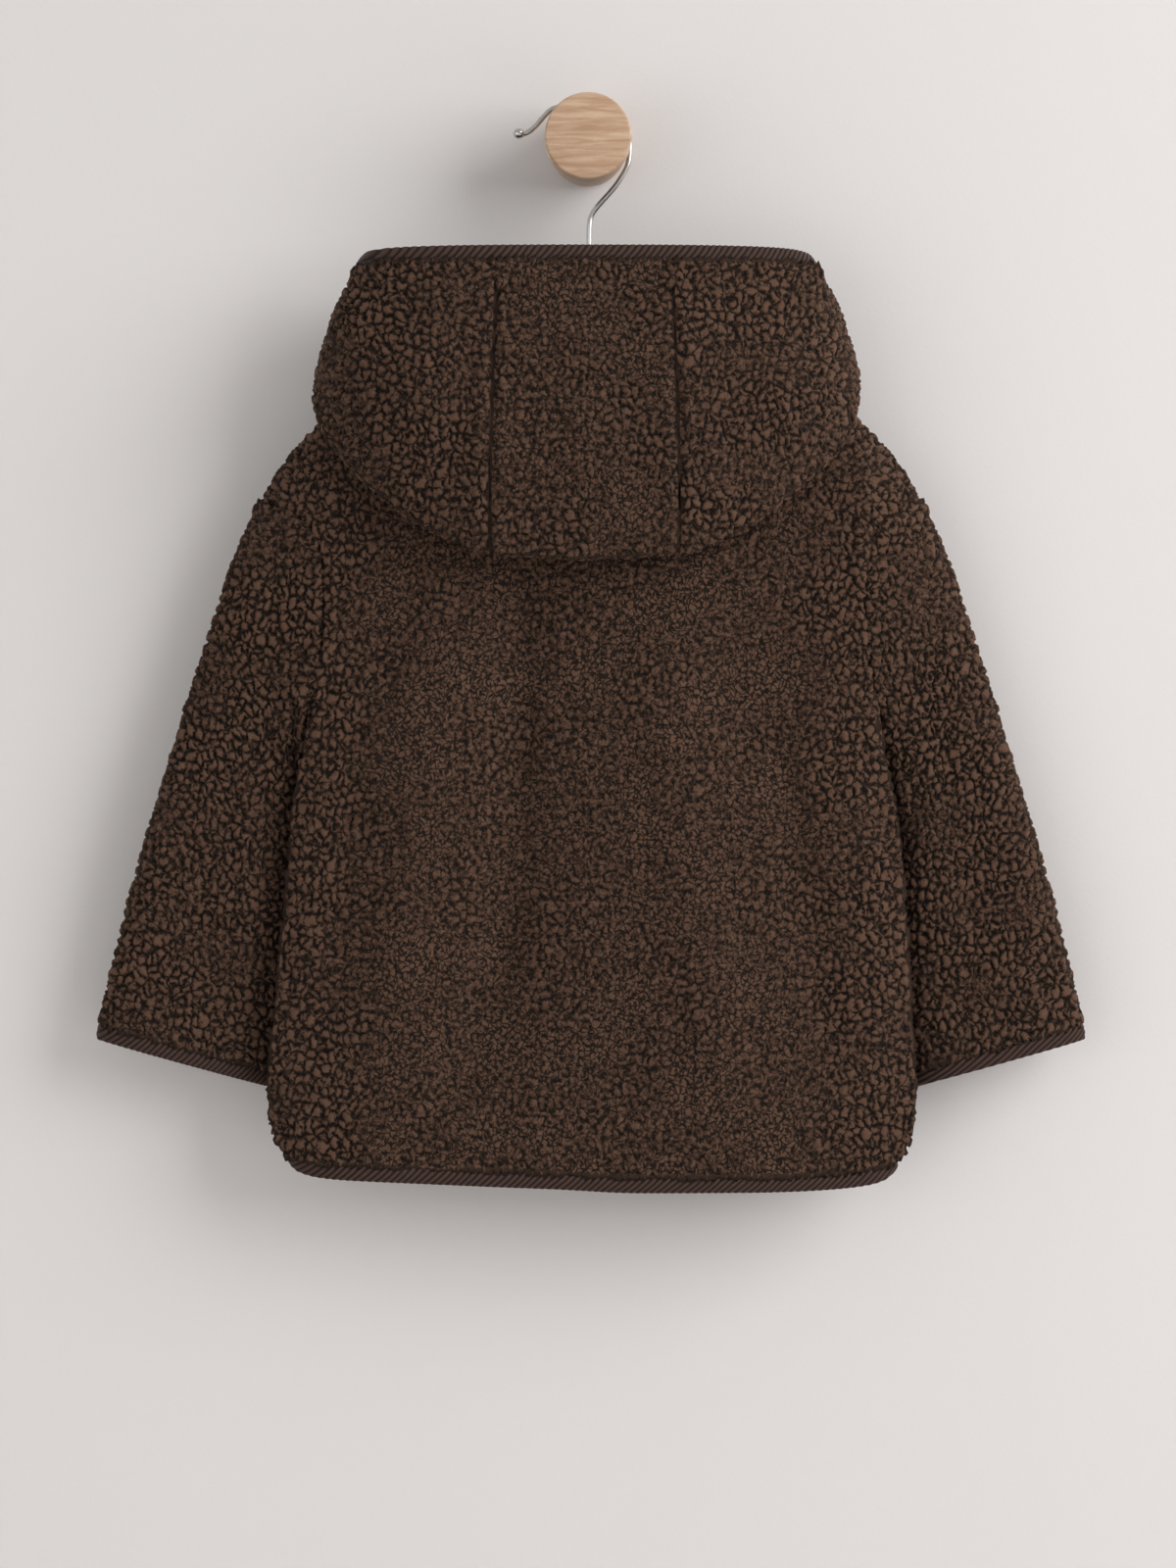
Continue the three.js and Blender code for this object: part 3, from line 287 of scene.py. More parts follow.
class NodeSheet:
    """A node tree with short calls to add and link its nodes."""

    def __init__(self, tree: bpy.types.NodeTree) -> None:
        """Keeps the tree that nodes are added to."""
        self.tree = tree

    def add(
            self, kind: str, inputs: dict[str | int, object] | None = None,
            **settings: object) -> bpy.types.Node:
        """Adds a node.

        Args:
            kind: Blender's node type.
            inputs: Sockets by name or number, each with a value or with an output to link from.
            **settings: Values for the node's own properties.

        Returns:
            The new node.
        """
        node = self.tree.nodes.new(kind)
        for name, value in settings.items():
            setattr(node, name, value)
        for key, value in (inputs or {}).items():
            if isinstance(value, bpy.types.NodeSocket):
                self.tree.links.new(value, node.inputs[key])
            else:
                node.inputs[key].default_value = value
        return node

    def math(self, operation: str, first: object, second: object = 0.0) -> bpy.types.NodeSocket:
        """Adds a Math node and returns its output."""
        return self.add("ShaderNodeMath", {0: first, 1: second}, operation=operation).outputs[0]

    def noise(self, place: object, scale: object, detail: float, **more: float) -> bpy.types.Node:
        """Adds a Noise Texture node.

        Args:
            place: Where it is read, as an output.
            scale: Its scale, as a number or an output.
            detail: Its detail.
            **more: Values of further sockets.

        Returns:
            The new node.
        """
        return self.add("ShaderNodeTexNoise", {"Vector": place, "Scale": scale, "Detail": detail, **more})

    def vector(self, operation: str, first: object, second: object) -> bpy.types.NodeSocket:
        """Adds a Vector Math node for two vectors and returns its output."""
        return self.add("ShaderNodeVectorMath", {0: first, 1: second}, operation=operation).outputs[0]

    def scaled(self, vector: object, scale: object) -> bpy.types.NodeSocket:
        """Adds a Vector Math node that scales a vector and returns its output."""
        return self.add("ShaderNodeVectorMath", {0: vector, "Scale": scale}, operation="SCALE").outputs[0]

    def spread(
            self, value: object, low: float, high: float,
            to_low: float, to_high: float) -> bpy.types.NodeSocket:
        """Adds a clamped Map Range node and returns its output."""
        sockets = {"Value": value, "From Min": low, "From Max": high, "To Min": to_low, "To Max": to_high}
        return self.add("ShaderNodeMapRange", sockets).outputs["Result"]

    def blend(self, factor: object, first: object, second: object) -> bpy.types.NodeSocket:
        """Adds a Mix node for two numbers and returns its output."""
        return self.add("ShaderNodeMix", {0: factor, 2: first, 3: second}, data_type="FLOAT").outputs[0]

    def mixed(self, factor: object, first: object, second: object) -> bpy.types.NodeSocket:
        """Adds a colour Mix node and returns its colour."""
        return self.add("ShaderNodeMix", {0: factor, 6: first, 7: second}, data_type="RGBA").outputs[2]


def colour(red: float, green: float, blue: float) -> tuple[float, float, float, float]:
    """Turns display values from 0 to 255 into a linear colour with alpha 1.

    Args:
        red: Red as a screen shows it.
        green: Green as a screen shows it.
        blue: Blue as a screen shows it.

    Returns:
        The linear colour.
    """
    def linear(value: float) -> float:
        """Undoes the display curve."""
        share = value / 255
        return share / 12.92 if share <= 0.04045 else ((share + 0.055) / 1.055) ** 2.4

    return (linear(red), linear(green), linear(blue), 1.0)


def new_group(name: str, inputs: dict[str, float], *outputs: str) -> tuple[NodeSheet, bpy.types.Node]:
    """Makes a shader group with named float sockets.

    Args:
        name: The group's name.
        inputs: Inputs with their default values.
        *outputs: Names of the outputs.

    Returns:
        The group's sheet and its input node.
    """
    group = bpy.data.node_groups.new(name, "ShaderNodeTree")
    for label, value in inputs.items():
        socket = group.interface.new_socket(label, in_out="INPUT", socket_type="NodeSocketFloat")
        socket.default_value = value
    for label in outputs:
        group.interface.new_socket(label, in_out="OUTPUT", socket_type="NodeSocketFloat")
    sheet = NodeSheet(group)
    return sheet, sheet.add("NodeGroupInput")


def pile_pattern(sheet: NodeSheet, place: bpy.types.NodeSocket, looseness: object) -> tuple:
    """Adds the pattern that a pile's shape and its material share.

    Args:
        sheet: The sheet to add the nodes to.
        place: The pile's own map, in metres.
        looseness: 0 for a close flat pile, 1 for one in loose curls.

    Returns:
        Outputs for the close nubs, the loose curls and the share of the loose ones, each from 0 to 1.
    """
    middle = (0.5, 0.5, 0.5)
    wide = sheet.noise(place, 170.0, 2.0).outputs["Color"]
    close = sheet.noise(place, 560.0, 1.0).outputs["Color"]
    far = sheet.scaled(sheet.vector("SUBTRACT", wide, middle), FAR_BEND)
    near = sheet.scaled(sheet.vector("SUBTRACT", close, middle), NEAR_BEND)
    bent = sheet.vector("ADD", place, sheet.vector("ADD", far, near))
    pit = sheet.spread(sheet.noise(place, 330.0, 1.0).outputs["Fac"], 0.3, 0.7, SHUT_PIT, OPEN_PIT)
    knobs = []
    for size, tall in ((FINE_NUB, 0.85), (LOOSE_NUB, 0.75)):
        sized = sheet.vector("MULTIPLY", bent, (1 / size, tall / size, 1 / size))
        cells = sheet.add(
            "ShaderNodeTexVoronoi", {"Vector": sized, "Scale": 1.0, "Randomness": 1.0},
            voronoi_dimensions="2D", feature="DISTANCE_TO_EDGE")
        inside = sheet.math("SUBTRACT", cells.outputs["Distance"], pit)
        knobs.append(sheet.spread(inside, 0.0, NUB_SLOPE, 0.0, 1.0))
    patches = sheet.noise(place, 26.0, 1.0).outputs["Fac"]
    share = sheet.math("ADD", looseness, sheet.spread(patches, 0.35, 0.65, -0.35, 0.35))
    return knobs[0], knobs[1], sheet.spread(share, 0.0, 1.0, 0.0, 1.0)


class SharedGroups:
    """Shader groups that several finishes use, each built once."""

    def __init__(self) -> None:
        """Builds the groups."""
        self.pile = self._pile()
        self.ribs = self._ribs()
        self.grain = self._grain()
        self.mottle = self._mottle()

    @staticmethod
    def _pile() -> bpy.types.NodeTree:
        """Curls of a pile: a height for bump, a mask of painted shade between the curls and a tint."""
        sheet, given = new_group("curly_pile", {"Strand": 0.6}, "Height", "Crevice Shade", "Tint")
        place = sheet.add("ShaderNodeAttribute", attribute_name=PILE_MAP).outputs["Vector"]
        looseness = sheet.add("ShaderNodeAttribute", attribute_name=LOOSENESS).outputs["Fac"]
        nubs, curls, share = pile_pattern(sheet, place, looseness)
        knob = sheet.blend(share, nubs, curls)
        strands = sheet.noise(place, 1900.0, 2.0, Roughness=0.6).outputs["Fac"]
        round_top = sheet.math("POWER", knob, 0.7)
        height = sheet.math("ADD", round_top, sheet.math("MULTIPLY", strands, given.outputs["Strand"]))
        # Painted shade: darker down the sides of each nub and in the hollows between nubs, with a random
        # strand tone mixed in.
        hollow = sheet.math("SUBTRACT", 1.0, sheet.math("POWER", knob, 1.7))
        between = sheet.spread(strands, 0.35, 0.65, 0.3, -0.1)
        crevice_shade_mask = sheet.spread(sheet.math("ADD", hollow, between), 0.0, 1.0, 0.0, 1.0)
        tint = sheet.spread(sheet.noise(place, 150.0, 3.0).outputs["Fac"], 0.3, 0.7, 0.0, 1.0)
        sheet.add("NodeGroupOutput", {"Height": height, "Crevice Shade": crevice_shade_mask, "Tint": tint})
        return sheet.tree

    @staticmethod
    def _ribs() -> bpy.types.NodeTree:
        """Ribs of a tape from its own phase, which turns by one for each rib, and a mask for painted shade
        in the grooves.
        """
        sheet, given = new_group("slant_ribs", {"Fibre": 0.45}, "Height", "Groove")
        phase = sheet.add("ShaderNodeAttribute", attribute_name=RIB_PHASE).outputs["Fac"]
        turns = sheet.math("MULTIPLY", phase, 2 * math.pi)
        wave = sheet.spread(sheet.math("SINE", turns), -1.0, 1.0, 0.0, 1.0)
        place = sheet.add("ShaderNodeTexCoord").outputs["Object"]
        fibre = sheet.noise(place, 2200.0, 2.0).outputs["Fac"]
        fluff = sheet.math("MULTIPLY", fibre, given.outputs["Fibre"])
        height = sheet.math("ADD", sheet.math("POWER", wave, 0.6), fluff)
        # Painted shade: darker in the grooves between the ribs.
        groove = sheet.math("POWER", sheet.math("SUBTRACT", 1.0, wave), 1.6)
        sheet.add("NodeGroupOutput", {"Height": height, "Groove": groove})
        return sheet.tree

    @staticmethod
    def _grain() -> bpy.types.NodeTree:
        """Wood grain that runs along X, with growth bands across Z and fine pores."""
        sheet, given = new_group("wood_grain", {"Band Size": 5 * MM, "Stretch": 0.1}, "Band", "Pores")
        place = sheet.add("ShaderNodeTexCoord").outputs["Object"]
        parts = sheet.add("ShaderNodeSeparateXYZ", {0: place})
        drawn = sheet.math("MULTIPLY", parts.outputs["X"], given.outputs["Stretch"])
        flow = sheet.add("ShaderNodeCombineXYZ", {0: drawn, 1: parts.outputs["Y"], 2: parts.outputs["Z"]})
        size = sheet.math("DIVIDE", 1.0, given.outputs["Band Size"])
        banded = sheet.scaled(flow.outputs[0], size)
        bands = sheet.noise(banded, 1.0, 3.0, Distortion=0.6)
        fine = sheet.noise(banded, 9.0, 4.0)
        band = sheet.spread(bands.outputs["Fac"], 0.32, 0.68, 0.0, 1.0)
        pores = sheet.spread(fine.outputs["Fac"], 0.5, 0.72, 0.0, 1.0)
        sheet.add("NodeGroupOutput", {"Band": band, "Pores": pores})
        return sheet.tree

    @staticmethod
    def _mottle() -> bpy.types.NodeTree:
        """Uneven patches and a fine knit or brushed grain, for backing, metal and wall."""
        sheet, given = new_group("mottle", {"Patch": 30.0, "Fine": 1400.0}, "Patches", "Height")
        place = sheet.add("ShaderNodeTexCoord").outputs["Object"]
        wide = sheet.noise(place, given.outputs["Patch"], 3.0)
        close = sheet.noise(place, given.outputs["Fine"], 2.0)
        patches = sheet.spread(wide.outputs["Fac"], 0.3, 0.7, 0.0, 1.0)
        sheet.add("NodeGroupOutput", {"Patches": patches, "Height": close.outputs["Fac"]})
        return sheet.tree


class Dressing:
    """One material under construction, with its shader and node sheet."""

    def __init__(self, name: str, roughness: float) -> None:
        """Starts a material that holds a Principled shader.

        Args:
            name: The material's name.
            roughness: The shader's roughness.
        """
        self.material = bpy.data.materials.new(name)
        self.material.use_nodes = True
        self.sheet = NodeSheet(self.material.node_tree)
        self.shader = self.material.node_tree.nodes["Principled BSDF"]
        self.shader.inputs["Roughness"].default_value = roughness

    def group(self, tree: bpy.types.NodeTree, **values: float) -> bpy.types.Node:
        """Places a shared group, with its values given by socket names in snake case."""
        node = self.sheet.add("ShaderNodeGroup", node_tree=tree)
        for label, value in values.items():
            node.inputs[label.replace("_", " ").title()].default_value = value
        return node

    def bump(self, height: bpy.types.NodeSocket, distance: float, strength: float) -> None:
        """Feeds the shader's normal from a height.

        Args:
            height: Height output, from 0 to about 1.
            distance: How far a height of 1 stands out, in metres.
            strength: Share of the bump that shows.
        """
        inputs = {"Height": height, "Distance": distance, "Strength": strength}
        node = self.sheet.add("ShaderNodeBump", inputs)
        self.sheet.tree.links.new(node.outputs["Normal"], self.shader.inputs["Normal"])

    def paint(self, tint: bpy.types.NodeSocket) -> None:
        """Feeds the shader's colour."""
        self.sheet.tree.links.new(tint, self.shader.inputs["Base Color"])


@dataclass(frozen=True)
class PileFinish:
    """Curly brown pile, with painted shade between its tufts."""

    lit: tuple = colour(102, 77, 63)
    warm: tuple = colour(91, 66, 52)
    # Colour of the painted shade between the tufts.
    crevice_shade_tone: tuple = colour(11, 6, 3)
    sheen: float = 0.12

    def material(self, groups: SharedGroups) -> bpy.types.Material:
        """Builds the material."""
        dressing = Dressing("fleece_pile", 0.95)
        pile = dressing.group(groups.pile)
        body = dressing.sheet.mixed(pile.outputs["Tint"], self.lit, self.warm)
        dressing.paint(dressing.sheet.mixed(pile.outputs["Crevice Shade"], body, self.crevice_shade_tone))
        dressing.bump(pile.outputs["Height"], 1.1 * MM, 1.0)
        dressing.shader.inputs["Sheen Weight"].default_value = self.sheen
        dressing.shader.inputs["Sheen Roughness"].default_value = 0.6
        dressing.shader.inputs["Sheen Tint"].default_value = colour(190, 160, 140)
        dressing.shader.inputs["Specular IOR Level"].default_value = 0.2
        return dressing.material


@dataclass(frozen=True)
class BackingFinish:
    """Knitted backing on the cloth's inner side and cut edges."""

    tone: tuple = colour(52, 38, 31)
    dark: tuple = colour(36, 26, 21)

    def material(self, groups: SharedGroups) -> bpy.types.Material:
        """Builds the material."""
        dressing = Dressing("fleece_backing", 0.95)
        mottle = dressing.group(groups.mottle, patch=60.0, fine=900.0)
        dressing.paint(dressing.sheet.mixed(mottle.outputs["Patches"], self.dark, self.tone))
        dressing.bump(mottle.outputs["Height"], 0.8 * MM, 0.7)
        dressing.shader.inputs["Specular IOR Level"].default_value = 0.2
        return dressing.material


@dataclass(frozen=True)
class BindingFinish:
    """Ribbed bias binding or woven tape, with painted shade in the grooves between its ribs."""

    name: str
    tone: tuple
    # Colour of the painted shade in the grooves.
    groove: tuple
    depth: float = 0.35 * MM

    def material(self, groups: SharedGroups) -> bpy.types.Material:
        """Builds the material."""
        dressing = Dressing(self.name, 0.8)
        ribs = dressing.group(groups.ribs)
        dressing.paint(dressing.sheet.mixed(ribs.outputs["Groove"], self.tone, self.groove))
        dressing.bump(ribs.outputs["Height"], self.depth, 0.9)
        dressing.shader.inputs["Specular IOR Level"].default_value = 0.3
        return dressing.material


@dataclass(frozen=True)
class WoodFinish:
    """Pale wood under a thin matt oil."""

    name: str
    light: tuple
    dark: tuple
    band_size: float = 4 * MM
    roughness: float = 0.5

    def material(self, groups: SharedGroups) -> bpy.types.Material:
        """Builds the material."""
        dressing = Dressing(self.name, self.roughness)
        grain = dressing.group(groups.grain, band_size=self.band_size)
        bands = dressing.sheet.mixed(grain.outputs["Band"], self.light, self.dark)
        pores = dressing.sheet.math("MULTIPLY", grain.outputs["Pores"], 0.5)
        dressing.paint(dressing.sheet.mixed(pores, bands, self.dark))
        dressing.bump(grain.outputs["Pores"], -0.08 * MM, 0.6)
        return dressing.material


@dataclass(frozen=True)
class MetalFinish:
    """Plated steel with faint wear in its gloss."""

    name: str
    tone: tuple
    roughness: float

    def material(self, groups: SharedGroups) -> bpy.types.Material:
        """Builds the material."""
        dressing = Dressing(self.name, self.roughness)
        mottle = dressing.group(groups.mottle, patch=180.0, fine=2500.0)
        duller = tuple(0.8 * value for value in self.tone[:3]) + (1.0,)
        dressing.paint(dressing.sheet.mixed(mottle.outputs["Patches"], self.tone, duller))
        spread = dressing.sheet.spread(
            mottle.outputs["Patches"], 0.0, 1.0, self.roughness * 0.8, self.roughness * 1.3)
        dressing.sheet.tree.links.new(spread, dressing.shader.inputs["Roughness"])
        dressing.bump(mottle.outputs["Height"], 0.02 * MM, 0.4)
        dressing.shader.inputs["Metallic"].default_value = 1.0
        return dressing.material


@dataclass(frozen=True)
class PlainFinish:
    """Matt surface with faint patches, for moulded teeth."""

    name: str
    tone: tuple
    shade: tuple
    roughness: float = 0.6

    def material(self, groups: SharedGroups) -> bpy.types.Material:
        """Builds the material."""
        dressing = Dressing(self.name, self.roughness)
        mottle = dressing.group(groups.mottle, patch=120.0, fine=1600.0)
        dressing.paint(dressing.sheet.mixed(mottle.outputs["Patches"], self.tone, self.shade))
        dressing.bump(mottle.outputs["Height"], 0.05 * MM, 0.4)
        return dressing.material


def pile_growth_group() -> bpy.types.NodeTree:
    """Builds the geometry group that grows tufts on a cloth's outer side.

    Returns:
        The group. It moves each point along its normal by the pattern that the material reads too.
    """
    inputs = {"Depth": 2.4 * MM, "Sink": 0.6, "Swell": 1.1 * MM}
    group = bpy.data.node_groups.new("pile_growth", "GeometryNodeTree")
    group.interface.new_socket("Geometry", in_out="INPUT", socket_type="NodeSocketGeometry")
    group.interface.new_socket("Geometry", in_out="OUTPUT", socket_type="NodeSocketGeometry")
    for label, value in inputs.items():
        socket = group.interface.new_socket(label, in_out="INPUT", socket_type="NodeSocketFloat")
        socket.default_value = value
    sheet = NodeSheet(group)
    given = sheet.add("NodeGroupInput")
    stored = [
        sheet.add("GeometryNodeInputNamedAttribute", {"Name": name}, data_type=kind).outputs["Attribute"]
        for name, kind in ((PILE_MAP, "FLOAT_VECTOR"), (LOOSENESS, "FLOAT"), (FACE_GROUP, "FLOAT"))]
    place, looseness, face = stored
    _, curls, share = pile_pattern(sheet, place, looseness)
    depth = sheet.math("MULTIPLY", given.outputs["Depth"], sheet.spread(share, 0.0, 1.0, 0.35, 1.0))
    rise = sheet.math("MULTIPLY", sheet.math("SUBTRACT", curls, given.outputs["Sink"]), depth)
    waves = sheet.noise(place, 75.0, 2.0).outputs["Fac"]
    swell = sheet.math("MULTIPLY", sheet.spread(waves, 0.25, 0.75, -0.6, 0.8), given.outputs["Swell"])
    reach = sheet.math("MULTIPLY", sheet.math("ADD", rise, swell), face)
    offset = sheet.scaled(sheet.add("GeometryNodeInputNormal").outputs[0], reach)
    moved = sheet.add("GeometryNodeSetPosition", {"Geometry": given.outputs["Geometry"], "Offset": offset})
    sheet.add("NodeGroupOutput", {"Geometry": moved.outputs[0]})
    return group


@dataclass(frozen=True)
class Crease:
    """A soft trough or ridge pressed along a line on the cloth, in the plane of the wall."""

    top: tuple[float, float]
    foot: tuple[float, float]
    width: float
    rise: float

    def relief(self, x: np.ndarray, z: np.ndarray) -> np.ndarray:
        """Height of the crease at each place.

        Args:
            x: Places across, in metres.
            z: Places up, in metres.

        Returns:
            Heights along the normal, in metres.
        """
        run_x = self.foot[0] - self.top[0]
        run_z = self.foot[1] - self.top[1]
        length = math.hypot(run_x, run_z)
        along = ((x - self.top[0]) * run_x + (z - self.top[1]) * run_z) / length ** 2
        across = ((x - self.top[0]) * run_z - (z - self.top[1]) * run_x) / length
        fade = 0.25
        ends = np.clip(along / fade + 0.5, 0, 1) * np.clip((1 - along) / fade + 0.5, 0, 1)
        return bell(across, self.rise, 0.0, self.width) * ends


@dataclass
class PilePanel:
    """One cloth panel: a thin wall on its solid's form, with a curly pile on its outer side."""

    node: str
    seed: tuple[float, float, float]
    flat: tuple[float, float]
    area: float
    looseness: float
    fineness: float
    loose_from: float = 1.0
    growth: float = 0.65 * MM
    bound: tuple[float, float] = (-1.0, -0.33)
    spill: float = -1.8 * MM
    creases: tuple[Crease, ...] = ()
    pressed: tuple[float, float] = (-1.0, 1.0)
    outward: float = -1.0
    held: str = "hung"
    rests_on: tuple[str, ...] = ("hanger_bar",)

    def build(self, tufts: bpy.types.NodeTree, finishes: list[bpy.types.Material]) -> None:
        """Args:
            tufts: The geometry group that grows the pile.
            finishes: The pile's and the backing's materials, in slot order.
        """
        piece = copy_of_node(self.node, f"{self.node}_cloth")
        for finish in finishes:
            piece.data.materials.append(finish)
        self._mark_face(piece)
        fatten(piece, self.growth)
        crease_sharp_edges(piece, FACE_ANGLE, 0.55)
        apply_modifier(piece, "SUBSURF", levels=2, render_levels=2)
        refine(piece, self.fineness, Cloth.PILE.value)
        self._press(piece)
        self._shape_edges(piece)
        self._lay_map(piece)
        self._grow(piece, tufts)
        piece.data.shade_smooth()
        declare(piece, self.node)

    def _mark_face(self, piece: bpy.types.Object) -> None:
        """Gives the outer side the pile's slot and group, and the rest the backing's slot."""
        make_active(piece)
        group = piece.vertex_groups.new(name=FACE_GROUP)
        bpy.ops.object.mode_set(mode="EDIT")
        bpy.ops.mesh.select_mode(type="FACE")
        bpy.ops.mesh.select_all(action="SELECT")
        piece.active_material_index = Cloth.BACKING.value
        bpy.ops.object.material_slot_assign()
        bpy.ops.mesh.select_all(action="DESELECT")
        mesh = bmesh.from_edit_mesh(piece.data)
        seed = Vector(self.seed) * MM
        nearest = min(mesh.faces, key=lambda face: (face.calc_center_median() - seed).length)
        nearest.select_set(True)
        mesh.faces.active = nearest
        bmesh.update_edit_mesh(piece.data)
        bpy.ops.mesh.faces_select_linked_flat(sharpness=math.radians(FACE_ANGLE))
        piece.active_material_index = Cloth.PILE.value
        bpy.ops.object.material_slot_assign()
        piece.vertex_groups.active_index = group.index
        bpy.ops.object.vertex_group_assign()
        bpy.ops.object.mode_set(mode="OBJECT")
        areas = [0.0, 0.0]
        for face in piece.data.polygons:
            areas[face.material_index] += face.area
        LOG.info("%s: pile side is %.2f of the surface", self.node, areas[0] / sum(areas))

    def _press(self, piece: bpy.types.Object) -> None:
        """Presses the panel's creases into both sides of the wall that lies between two depths."""
        points = vertex_table(piece, "co")
        low, high = self.pressed
        blend = 3 * MM
        share = np.clip((points[:, 1] - low) / blend, 0, 1) * np.clip((high - points[:, 1]) / blend, 0, 1)
        for crease in self.creases:
            points[:, 1] += self.outward * share * crease.relief(points[:, 0], points[:, 2])
        set_points(piece, points)

    def _shape_edges(self, piece: bpy.types.Object) -> None:
        """Rounds the pile down into its seams with a swell beside them, and spills it over the bindings."""
        mesh = piece.data
        on_pile = np.zeros(len(mesh.vertices), dtype=bool)
        on_rim = np.zeros(len(mesh.vertices), dtype=bool)
        for face in mesh.polygons:
            (on_pile if face.material_index == Cloth.PILE.value else on_rim)[list(face.vertices)] = True
        points = vertex_table(piece, "co")
        normals = vertex_table(piece, "normal")
        border = np.flatnonzero(on_pile & on_rim)
        tree = KDTree(len(border))
        for index in border:
            tree.insert(points[index], int(index))
        tree.balance()
        away = np.full(len(points), 1.0)
        for index in np.flatnonzero(on_pile):
            away[index] = tree.find(points[index])[2]
        level = points[:, 2]
        is_bound = (level > self.bound[0]) & (level < self.bound[1])
        at_seam = bell(away, *SEAM_DIP) + bell(away, *SEAM_SWELL)
        rise = np.where(is_bound, bell(away, *BOUND_SWELL), at_seam)
        points += normals * (rise * on_pile)[:, None]
        tufts = 0.7 + 0.5 * np.sin(points[:, 0] * 1500 + level * 700)
        reach = np.clip(1 - away / SPILL_REACH, 0, 1) * tufts
        points[:, 2] += np.where(is_bound & on_pile, reach * self.spill, 0)
        set_points(piece, points)

    def _lay_map(self, piece: bpy.types.Object) -> None:
        """Maps the pile in metres from whichever side each place faces, and says how loose it is."""
        points = vertex_table(piece, "co")
        facing = np.abs(vertex_table(piece, "normal"))
        place = np.column_stack((points[:, 0], points[:, 2], np.zeros(len(points))))
        sideways = (facing[:, 1] < 0.5) & (facing[:, 0] >= facing[:, 2])
        upright = (facing[:, 1] < 0.5) & (facing[:, 0] < facing[:, 2])
        place[sideways, 0] = points[sideways, 1] + SIDE_SHIFT
        place[upright, 1] = points[upright, 1] + TOP_SHIFT
        store_vertex_values(piece, PILE_MAP, place)
        beside = np.clip((np.abs(points[:, 0]) - self.loose_from) / LOOSE_BAND, 0, 1)
        store_vertex_values(piece, LOOSENESS, self.looseness + LOOSE_GAIN * beside)

    @staticmethod
    def _grow(piece: bpy.types.Object, tufts: bpy.types.NodeTree) -> None:
        """Grows the tufts with the shared geometry group."""
        apply_modifier(piece, "NODES", node_group=tufts)


def creases(*rows: tuple[float, float, float, float, float, float]) -> tuple[Crease, ...]:
    """Makes creases from rows in millimetres: top x and z, foot x and z, width and rise."""
    scaled = [[value * MM for value in row] for row in rows]
    return tuple(Crease((row[0], row[1]), (row[2], row[3]), row[4], row[5]) for row in scaled)


BACK_CREASES = creases(
    (-35, -232, -36, -360, 10, -3.6), (-36, -335, -44, -440, 11, -3.4), (-43, -425, -70, -512, 12, -3.8),
    (-66, -500, -98, -542, 11, -2.4), (-80, -255, -104, -455, 15, 3.2), (38, -280, 72, -510, 16, 3.0),
    (98, -310, 128, -482, 12, -3.4), (-91, -220, -94, -268, 8, -2.4), (149, -168, 150, -236, 9, 2.6),
    (6, -320, 0, -430, 18, 1.8), (70, -245, 84, -335, 10, -1.8), (-122, -320, -136, -475, 10, -2.2))
FRONT_LEFT_CREASES = creases(
    (-60, -190, -74, -420, 13, 2.0), (-98, -210, -118, -480, 11, -2.2), (-40, -330, -52, -520, 12, -1.6),
    (-128, -260, -140, -440, 9, 1.5))
FRONT_RIGHT_CREASES = creases(
    (64, -200, 82, -470, 14, 1.9), (104, -215, 114, -460, 10, -2.3), (36, -300, 48, -500, 13, -1.4),
    (132, -300, 146, -470, 9, 1.4))
SLEEVE_LEFT_CREASES = creases(
    (-196, -250, -216, -330, 8, -1.8), (-214, -300, -238, -420, 9, 1.7), (-188, -330, -210, -440, 7, -1.6),
    (-226, -400, -196, -424, 6, -1.5), (-236, -452, -204, -466, 6, -1.7))
SLEEVE_RIGHT_CREASES = creases(
    (200, -246, 214, -318, 8, -1.7), (212, -310, 240, -430, 9, 1.8), (190, -320, 206, -420, 7, -1.5),
    (196, -462, 232, -470, 7, -2.2), (192, -392, 224, -380, 6, -1.2))
HOOD_CENTRE_CREASES = creases((-8, -90, -4, -190, 12, 1.2), (22, -110, 26, -205, 9, -1.2))
HOOD_LEFT_CREASES = creases(
    (-74, -84, -92, -170, 11, 1.6), (-104, -92, -112, -160, 9, -1.4), (-62, -120, -70, -205, 8, -1.2))
HOOD_RIGHT_CREASES = creases(
    (100, -110, 110, -160, 14, 2.2), (72, -86, 84, -190, 9, -1.4), (58, -130, 66, -205, 8, 1.0))


